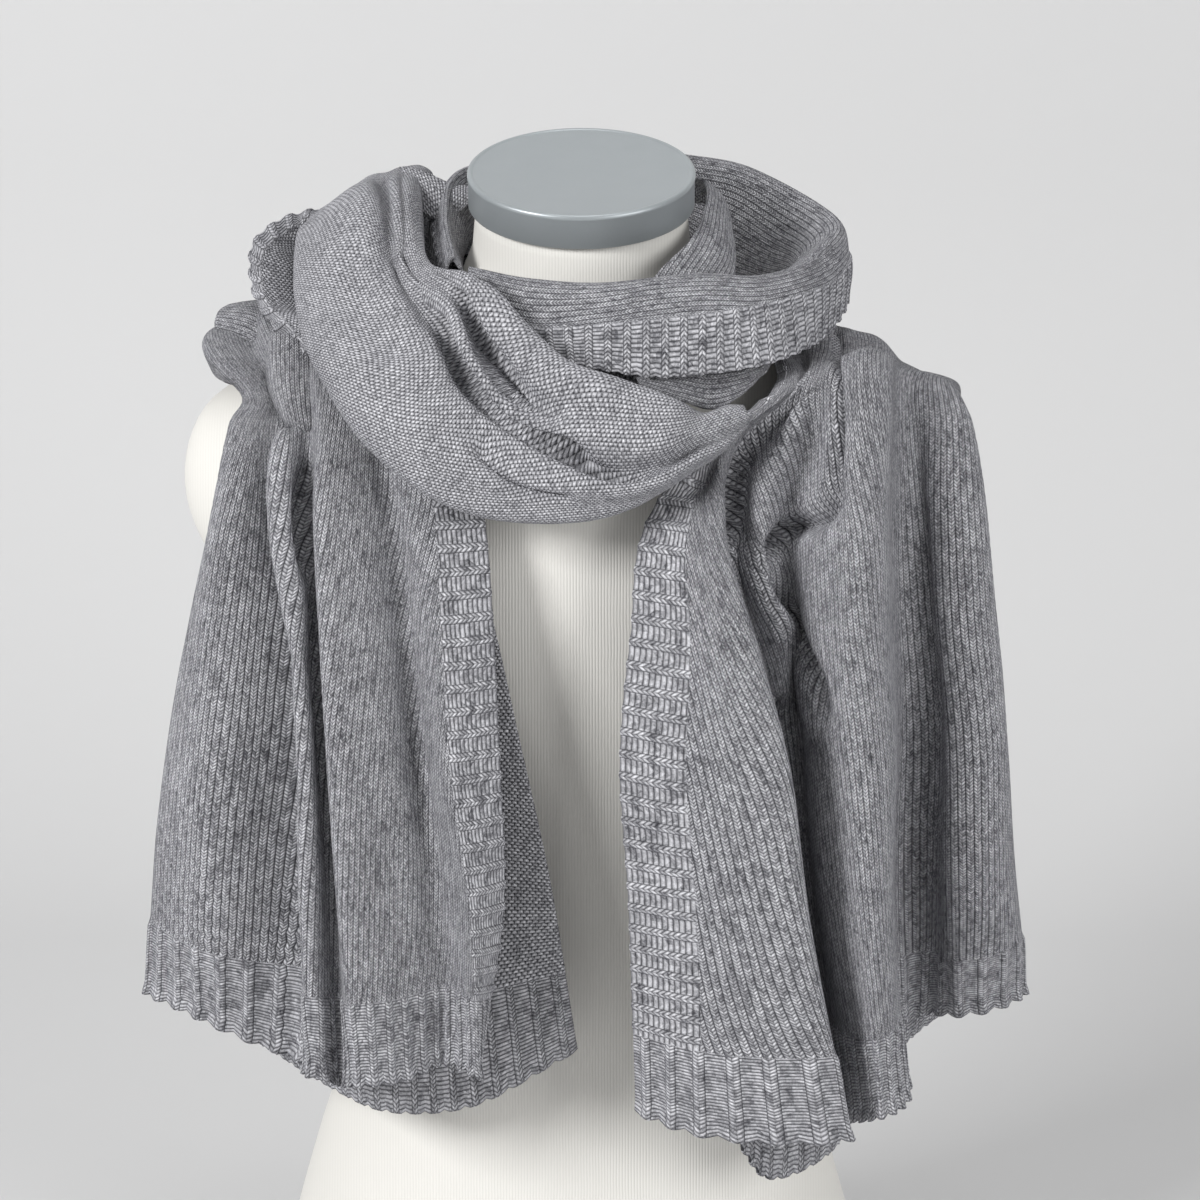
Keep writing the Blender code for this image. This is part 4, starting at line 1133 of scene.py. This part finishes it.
class DressForm:
    """The jersey-covered torso and neck, closed and smooth."""

    SEGMENTS = 96
    RING_STEP = 7.0
    FOOT_RINGS = (0.0, 2.5, 5.0)
    FIRST_RING = 9.0
    NECK_SHARES = (1 / 3, 2 / 3, 1.0)
    POLE = 1e-4

    def __init__(self) -> None:
        """Read the finer rings from the sections."""
        values = np.array([list(section) for section in FORM_SECTIONS], dtype=float)
        knots = np.concatenate(([0.0], np.cumsum(np.hypot(np.diff(values[:, 0]),
                                                          np.diff(values[:, 1])))))
        places = np.concatenate((self.FOOT_RINGS,
                                 spaced(self.FIRST_RING, knots[-1], self.RING_STEP)))
        self.rings = [FormSection(*row) for row in through_points(knots, values, places)]

    def build(self, material: Material) -> Object:
        """Give each ring of a sphere its section's place."""
        cap_axis = Vector((0.0, -sin(radians(CAP_TILT)), cos(radians(CAP_TILT))))
        neck_top = Vector((0.0, CAP_TOP_Y, FORM_HEIGHT)) - cap_axis * (CAP_HEIGHT + PART_GAP)
        last = self.rings[-1]
        rings = list(self.rings)
        for share in self.NECK_SHARES:
            centre = Vector((last.centre_x, last.centre_y, last.z)).lerp(neck_top, share)
            half_width = last.half_width + (NECK_TOP_RADIUS - last.half_width) * share
            half_depth = last.half_depth + (NECK_TOP_RADIUS - last.half_depth) * share
            tilt = last.tilt + (CAP_TILT - last.tilt) * share
            rings.append(FormSection(centre.z, half_width, half_depth, centre.y, centre.x, tilt))
        mesh = bmesh.new()
        bmesh.ops.create_uvsphere(mesh, u_segments=self.SEGMENTS, v_segments=len(rings) + 1,
                                  radius=1.0)
        for vertex in mesh.verts:
            polar = acos(max(-1.0, min(1.0, vertex.co.z)))
            ring = round((1.0 - polar / pi) * (len(rings) + 1)) - 1
            section = rings[max(0, min(len(rings) - 1, ring))]
            flat = Vector((vertex.co.x, vertex.co.y, 0.0))
            flat = flat.normalized() if flat.length > self.POLE else Vector()
            place = Vector((flat.x * section.half_width, flat.y * section.half_depth, 0.0))
            place.rotate(Euler((radians(section.tilt), 0.0, 0.0)))
            centre = Vector((section.centre_x, section.centre_y, section.z))
            vertex.co = (centre + place) * MM
        form = new_object("form", finished_mesh("form", mesh), material)
        return settle(form, ["form_body"])


class NeckCap:
    """The metal cap on the neck: a disc with a thin rounded rim."""

    SEGMENTS = 128
    MERGE = 1e-6
    PROFILE = ((0.0, 0.0), (57.8, 0.0), (58.6, 0.3), (59.0, 1.0), (59.0, 15.2), (59.3, 15.9),
               (59.4, 16.9), (59.2, 17.9), (58.6, 18.5), (57.8, 18.7), (57.0, 18.5),
               (56.6, 18.2), (56.0, 18.1), (0.0, 18.1))

    def build(self, material: Material) -> Object:
        """Spin the profile and tip it forward onto the neck."""
        mesh = bmesh.new()
        points = [mesh.verts.new((r * MM, 0.0, z * MM)) for r, z in self.PROFILE]
        edges = [mesh.edges.new(pair) for pair in zip(points, points[1:])]
        bmesh.ops.spin(mesh, geom=points + edges, cent=(0, 0, 0), axis=(0, 0, 1),
                       angle=2 * pi, steps=self.SEGMENTS, use_merge=True)
        bmesh.ops.remove_doubles(mesh, verts=mesh.verts[:], dist=self.MERGE)
        bmesh.ops.recalc_face_normals(mesh, faces=mesh.faces[:])
        tilt = Matrix.Rotation(radians(CAP_TILT), 4, "X")
        axis = tilt @ Vector((0.0, 0.0, 1.0))
        top = Vector((0.0, CAP_TOP_Y, FORM_HEIGHT)) * MM
        bmesh.ops.transform(mesh, verts=mesh.verts[:],
                            matrix=Matrix.Translation(top - axis * CAP_HEIGHT * MM) @ tilt)
        cap = new_object("cap", finished_mesh("cap", mesh), material)
        return settle(cap, ["form_cap"])


def wrap_points(folds: Sequence[FoldLine], stations: Sequence[WrapStation]) -> np.ndarray:
    """Where each fold line passes each cut over the shoulder and behind the neck."""
    middles = [(Vector(cut.inner) + Vector(cut.outer)) / 2 for cut in stations]
    points = np.empty((len(folds), len(stations), 3))
    for index, cut in enumerate(stations):
        inner = Vector(cut.inner)
        side = Vector(cut.outer) - inner
        path = middles[min(index + 1, len(middles) - 1)] - middles[max(index - 1, 0)]
        out = side.cross(path).normalized()
        core = Vector((0.0, 0.0, middles[index].z - CORE_DEPTH))
        if out.dot(middles[index] - core) < 0:
            out.negate()
        for row, fold in enumerate(folds):
            lift = cut.lift_inner + (cut.lift_outer - cut.lift_inner) * fold.across
            rise = cut.arch * 4.0 * fold.across * (1.0 - fold.across)
            pleat = cut.pleat * fold.crest * (1.0 if fold.layer else UNDER_LAYER_PLEAT)
            points[row, index] = inner + side * fold.across + out * (rise + lift * fold.layer
                                                                     + pleat)
    return points


def strand_surface(folds: Sequence[FoldLine], stations: Sequence[WrapStation]) -> KnitSurface:
    """One end of the stole, from its hem up the chest, over the shoulder and behind the neck."""
    panel = np.array([
        [fold.hem, (*fold.hip, HIP_Z), (*fold.waist, WAIST_Z), (*fold.rib_cage, RIB_CAGE_Z),
         (*fold.bust, BUST_Z), (*fold.knot, KNOT_Z), fold.chest]
        for fold in folds], dtype=float)
    return KnitSurface(np.concatenate((panel, wrap_points(folds, stations)), axis=1))


@dataclass
class Strand:
    """One end of the stole: the folded part in front, and the wrap behind the neck."""

    WAVE_HEIGHT: ClassVar[float] = 1.3
    LINE_PROBES: ClassVar[int] = 200
    BORDER_RAMP: ClassVar[float] = 1.5
    HEM_RAMP: ClassVar[float] = 2.5
    ROLL_DEPTH: ClassVar[float] = 7.0
    ROLL_HEIGHT: ClassVar[float] = 1.4
    SCALLOP_DEPTH: ClassVar[float] = 9.0
    NAPE_OVERLAP: ClassVar[float] = 2.0

    side: str
    folds: Sequence[FoldLine]
    stations: Sequence[WrapStation]
    face: int
    creases: Sequence[Crease]
    seed: int
    far_ribs: bool = True
    columns_per_rib: int = 5
    rows_per_rib: int = 4
    chest_row: float = 5.0
    nape_cell: float = 7.0
    split_row: int = 9
    surface: KnitSurface = field(init=False)

    def __post_init__(self) -> None:
        """Lay out the surface and the borders' places."""
        self.surface = strand_surface(self.folds, self.stations)
        self.knot = float(self.surface.along_knots[KNOT_SPANS])
        self.split = float(self.surface.along_knots[self.split_row])
        self.inner = float(self.surface.across_knots[1])
        self.outer = self.surface.width - FAR_BORDER_WIDTH
        across = np.linspace(0.0, self.surface.width, self.LINE_PROBES)
        line = self.surface.points(across, np.zeros(1))[:, 0]
        self.hem_ribs = round(np.linalg.norm(np.diff(line, axis=0), axis=1).sum() / RIB_PITCH)
        self.undulation = Undulation(self.seed, height=self.WAVE_HEIGHT)

    def _hem_phase(self, across: np.ndarray) -> np.ndarray:
        """Ribs of the hem, counted across the sheet."""
        return across * self.hem_ribs / self.surface.width

    def _in_long_border(self, across: np.ndarray) -> np.ndarray:
        """1 on the borders of both long edges, 0 between them."""
        ramp = self.BORDER_RAMP
        inner = smooth_step(self.inner + ramp, self.inner - ramp, across)
        outer = self.far_ribs * smooth_step(self.outer - ramp, self.outer + ramp, across)
        return np.maximum(inner, outer)

    def _relief(self, across: np.ndarray, along: np.ndarray) -> np.ndarray:
        """Ribs, rolled edges, creases and the cloth's own unevenness."""
        in_hem = smooth_step(HEM_DEPTH + self.HEM_RAMP, HEM_DEPTH - self.HEM_RAMP, along)
        hem = in_hem * rib_profile(self._hem_phase(across))
        long_edges = self._in_long_border(across) * (1.0 - in_hem)
        borders = long_edges * rib_profile(along / RIB_PITCH)
        roll = smooth_step(self.ROLL_DEPTH, 0.0, along) * self.ROLL_HEIGHT
        waves = self.undulation.relief(across, along)
        creases = crease_relief(self.creases, across, along)
        return RIB_HEIGHT * (hem + borders) - RIB_HEIGHT / 2 + roll + waves + creases

    def _shift(self, across: np.ndarray, along: np.ndarray) -> Pair:
        """The hem's scallops: how far points move along and across the sheet."""
        lobes = scallops(self._hem_phase(across))
        down = -SCALLOP_DROP * lobes * smooth_step(self.SCALLOP_DEPTH, 0.0, along)
        return down, np.zeros_like(down)

    def _rib_places(self, a: np.ndarray, b: np.ndarray, face_b: np.ndarray) -> Pair:
        """Rib coordinates: across the hem's ribs, or across the long borders' ribs."""
        hem = face_b < HEM_DEPTH
        real = a * self.surface.gauge_scale(b)
        return (np.where(hem, self._hem_phase(a), b / RIB_PITCH),
                np.where(hem, b, real) / RIB_STITCH)

    def _rib_zone(self, face_a: np.ndarray, face_b: np.ndarray) -> np.ndarray:
        """1 where the cloth is ribbed."""
        far = (face_a > self.outer) & self.far_ribs
        ribbed = (face_b < HEM_DEPTH) | (face_a < self.inner) | far
        return ribbed.astype(float)

    def build(self, finish: KnitFinish) -> None:
        """Make the front part and the nape part."""
        pattern = SheetPattern(self._relief, self._shift, self._rib_places, self._rib_zone)
        across = np.linspace(0.0, self.surface.width, self.hem_ribs * self.columns_per_rib + 1)
        row = RIB_PITCH / self.rows_per_rib
        rows = np.concatenate((np.arange(0.0, self.knot, row),
                               spaced(self.knot + row / 2, self.split, self.chest_row)))
        mean = float(self.surface.real_width(rows).mean())
        KnitSheet(f"{self.side}_end", self.surface, across, rows, self.face, pattern,
                  [f"{self.side}_{part}" for part in
                   ("hem", "panel", "inner_border", "outer_border")],
                  (mean * MM, self.split * MM), ["form"]).build(finish)
        nape = spaced(self.split - self.NAPE_OVERLAP, self.surface.length, self.nape_cell)
        mean = float(self.surface.real_width(nape).mean())
        KnitSheet(f"{self.side}_nape", self.surface,
                  spaced(0.0, self.surface.width, self.nape_cell / 2), nape, self.face, pattern,
                  [f"{self.side}_wrap"],
                  (mean * MM, (self.surface.length - self.split) * MM),
                  ["form"]).build(finish)


@dataclass
class PlainSheet:
    """A stretch without a hem: the cowl, the band, the strip and the small folds."""

    ACROSS_WAVE: ClassVar[float] = 34.0
    ALONG_WAVE: ClassVar[float] = 90.0
    BORDER_RAMP: ClassVar[float] = 1.0
    SCALLOP_DEPTH: ClassVar[float] = 8.0

    name: str
    stations: Sequence[tuple]
    nodes: Sequence[str]
    face: int
    cell: tuple[float, float]
    seed: int
    waves: float
    rests_on: Sequence[str]
    creases: Sequence[Crease] = ()
    border_column: Optional[int] = None
    edge_scallop: float = 0.0
    rib_pitch: float = RIB_PITCH
    on_bias: bool = False
    surface: KnitSurface = field(init=False)

    def __post_init__(self) -> None:
        """Lay out the surface."""
        self.surface = table_surface(self.stations)
        self.undulation = Undulation(self.seed, self.waves, self.ACROSS_WAVE, self.ALONG_WAVE)
        self.border = float(self.surface.width + 1.0 if self.border_column is None
                            else self.surface.across_knots[self.border_column])

    def _relief(self, across: np.ndarray, along: np.ndarray) -> np.ndarray:
        """Ribs of the border, creases and unevenness."""
        ramp = self.BORDER_RAMP
        border = smooth_step(self.border - ramp, self.border + ramp, across)
        ribs = border * rib_profile(along / self.rib_pitch) * RIB_HEIGHT
        waves = self.undulation.relief(across, along)
        return ribs + waves + crease_relief(self.creases, across, along)

    def _shift(self, across: np.ndarray, along: np.ndarray) -> Pair:
        """Scallops of the border's edge."""
        lobes = scallops(along / self.rib_pitch)
        width = self.surface.width
        near_edge = smooth_step(width - self.SCALLOP_DEPTH, width, across)
        outward = self.edge_scallop * lobes * near_edge
        return np.zeros_like(outward), outward

    def _rib_places(self, a: np.ndarray, b: np.ndarray, face_b: np.ndarray) -> Pair:
        """Ribs run across the sheet."""
        return b / self.rib_pitch, (a - self.border) / RIB_STITCH

    def _rib_zone(self, face_a: np.ndarray, face_b: np.ndarray) -> np.ndarray:
        """1 on the border."""
        return (face_a > self.border).astype(float)

    def build(self, finish: KnitFinish) -> Object:
        """Make the sheet."""
        pattern = SheetPattern(self._relief, self._shift, self._rib_places, self._rib_zone)
        across = spaced(0.0, self.surface.width, self.cell[0])
        along = spaced(0.0, self.surface.length, self.cell[1])
        mean = float(self.surface.real_width(along).mean())
        return KnitSheet(self.name, self.surface, across, along, self.face, pattern, self.nodes,
                         (mean * MM, self.surface.length * MM), self.rests_on,
                         self.on_bias).build(finish)


class Studio:
    """Pale floor and wall in one sweep, soft lights and the camera."""

    TARGET = Vector((0.0097, 0.0, 0.46534))
    DISTANCE = 2.0
    ELEVATION = 16.0
    LENS = 111.36
    SENSOR = 36.0
    WALL_Y = 0.7
    SWEEP = 0.5
    SWEEP_STEPS = 17
    FRONT_Y, WALL_TOP, WIDTH = -6.0, 6.0, 16.0
    PAPER = (0.66, 0.66, 0.662, 1.0)
    SURROUND, SURROUND_POWER = (1.0, 1.0, 1.0, 1.0), 0.33
    LIGHTS = (("key", (-1.9, -1.7, 1.7), 0.8, 64.0), ("fill", (1.9, -1.9, 1.2), 1.5, 34.0),
              ("top", (0.1, -0.2, 2.6), 0.9, 10.0))

    def build(self) -> None:
        """Place the floor, the lights, the world and the camera."""
        self._floor()
        for name, place, size, power in self.LIGHTS:
            self._light(name, Vector(place), size, power)
        self._world()
        self._camera()

    def _floor(self) -> None:
        """A plain floor that sweeps up into a plain wall, seen through from behind the wall."""
        turn = [(self.WALL_Y + self.SWEEP * sin(a), self.SWEEP * (1.0 - cos(a)))
                for a in np.linspace(0.0, pi / 2, self.SWEEP_STEPS)]
        profile = [(self.FRONT_Y, 0.0)] + turn + [(self.WALL_Y + self.SWEEP, self.WALL_TOP)]
        mesh = bmesh.new()
        bmesh.ops.create_grid(mesh, x_segments=1, y_segments=len(profile) - 1, size=0.5)
        for vertex in mesh.verts:
            y, z = profile[round((vertex.co.y + 0.5) * (len(profile) - 1))]
            vertex.co = Vector((vertex.co.x * self.WIDTH, y, z))
        w = MaterialWiring("floor")
        w.give(Base_Color=self.PAPER, Roughness=1.0, Specular_IOR_Level=0.0)
        either = w.add("ShaderNodeMixShader")
        w.feed(either.inputs[0], w.add("ShaderNodeNewGeometry").outputs["Backfacing"])
        w.feed(either.inputs[1], w.shader.outputs[0])
        w.feed(either.inputs[2], w.add("ShaderNodeBsdfTransparent").outputs[0])
        w.feed(w.tree.nodes["Material Output"].inputs["Surface"], either.outputs[0])
        new_object("floor", finished_mesh("floor", mesh), w.material)

    def _light(self, name: str, place: Vector, size: float, power: float) -> None:
        """A square soft light that faces the object."""
        data = bpy.data.lights.new(name, "AREA")
        data.size, data.energy = size, power
        lamp = bpy.data.objects.new(name, data)
        lamp.location = place
        lamp.rotation_euler = (self.TARGET - place).to_track_quat("-Z", "Y").to_euler()
        bpy.context.scene.collection.objects.link(lamp)

    @staticmethod
    def _world() -> None:
        """An even white surround."""
        world = bpy.data.worlds.new("studio")
        bpy.context.scene.world = world
        world.use_nodes = True
        background = world.node_tree.nodes["Background"]
        background.inputs["Color"].default_value = Studio.SURROUND
        background.inputs["Strength"].default_value = Studio.SURROUND_POWER
        bpy.context.scene.view_settings.view_transform = "Standard"

    def _camera(self) -> None:
        """The photo's view: straight on, from a little above."""
        data = bpy.data.cameras.new("camera")
        data.lens, data.sensor_width = self.LENS, self.SENSOR
        data.dof.use_dof = False
        back = Vector((0.0, -cos(radians(self.ELEVATION)), sin(radians(self.ELEVATION))))
        camera = bpy.data.objects.new("camera", data)
        camera.location = self.TARGET + back * self.DISTANCE
        camera.rotation_euler = (-back).to_track_quat("-Z", "Y").to_euler()
        bpy.context.scene.collection.objects.link(camera)
        bpy.context.scene.camera = camera


def build_object(groups: StitchGroups) -> None:
    """Build every visible piece of the object, in order, and report it."""
    DressForm().build(FormJersey().material())
    NeckCap().build(SatinMetal().material())
    yarn = KnitYarn()
    knit = yarn.material("stole_knit_side", groups, Side.KNIT)
    purl = yarn.material("stole_purl_side", groups, Side.PURL)
    knit_out, purl_out = KnitFinish(knit, purl), KnitFinish(purl, knit)
    Strand("left", LEFT_FOLDS, LEFT_WRAP, -1, LEFT_CREASES, 11, far_ribs=False).build(knit_out)
    Strand("right", RIGHT_FOLDS, RIGHT_WRAP, 1, RIGHT_CREASES, 23).build(knit_out)
    for finish, sheet in (
            (purl_out, PlainSheet("cowl_cloth", COWL_STATIONS, ["cowl"], 1, (1.3, 2.1), seed=31,
                                  waves=1.2, rests_on=["form"], creases=COWL_CREASES,
                                  on_bias=True)),
            (knit_out, PlainSheet("band_cloth", BAND_STATIONS, ["neck_band", "neck_band_border"],
                                  1, (1.6, 2.3), seed=37, waves=0.8, rests_on=["form"],
                                  creases=BAND_CREASES, border_column=RIB_LINE_COLUMN,
                                  edge_scallop=1.3, rib_pitch=BAND_RIB_PITCH)),
            (knit_out, PlainSheet("strip_cloth", STRIP_STATIONS, ["neck_strip"], -1, (1.6, 2.5),
                                  seed=41, waves=0.4, rests_on=["form"])),
            (purl_out, PlainSheet("shoulder_fold_cloth", SHOULDER_FOLD_STATIONS,
                                  ["left_shoulder_fold"], 1, (1.0, 2.2), seed=43, waves=0.5,
                                  rests_on=["left_nape"], border_column=FOLD_RIM_COLUMN,
                                  edge_scallop=1.2)),
            (purl_out, PlainSheet("crown_cloth", CROWN_STATIONS, [], 1, (1.4, 2.2), seed=61,
                                  waves=0.5, rests_on=["left_nape"])),
            (knit_out, PlainSheet("throat_cloth", THROAT_STATIONS, [], 1, (1.6, 2.3), seed=47,
                                  waves=0.4, rests_on=["cowl_cloth"])),
            (knit_out, PlainSheet("shoulder_loop_cloth", LOOP_STATIONS, [], -1, (1.2, 2.0),
                                  seed=53, waves=0.3, rests_on=["left_end"])),
            (knit_out, PlainSheet("shoulder_lump_cloth", LUMP_STATIONS, [], -1, (1.2, 2.0),
                                  seed=59, waves=0.3, rests_on=["left_end"]))):
        sheet.build(finish)


def main() -> None:
    """Build the object and its studio."""
    logging.basicConfig(level=logging.INFO, format="%(name)s: %(message)s")
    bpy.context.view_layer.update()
    build_object(StitchGroups())
    Studio().build()


if __name__ == "__main__":
    main()
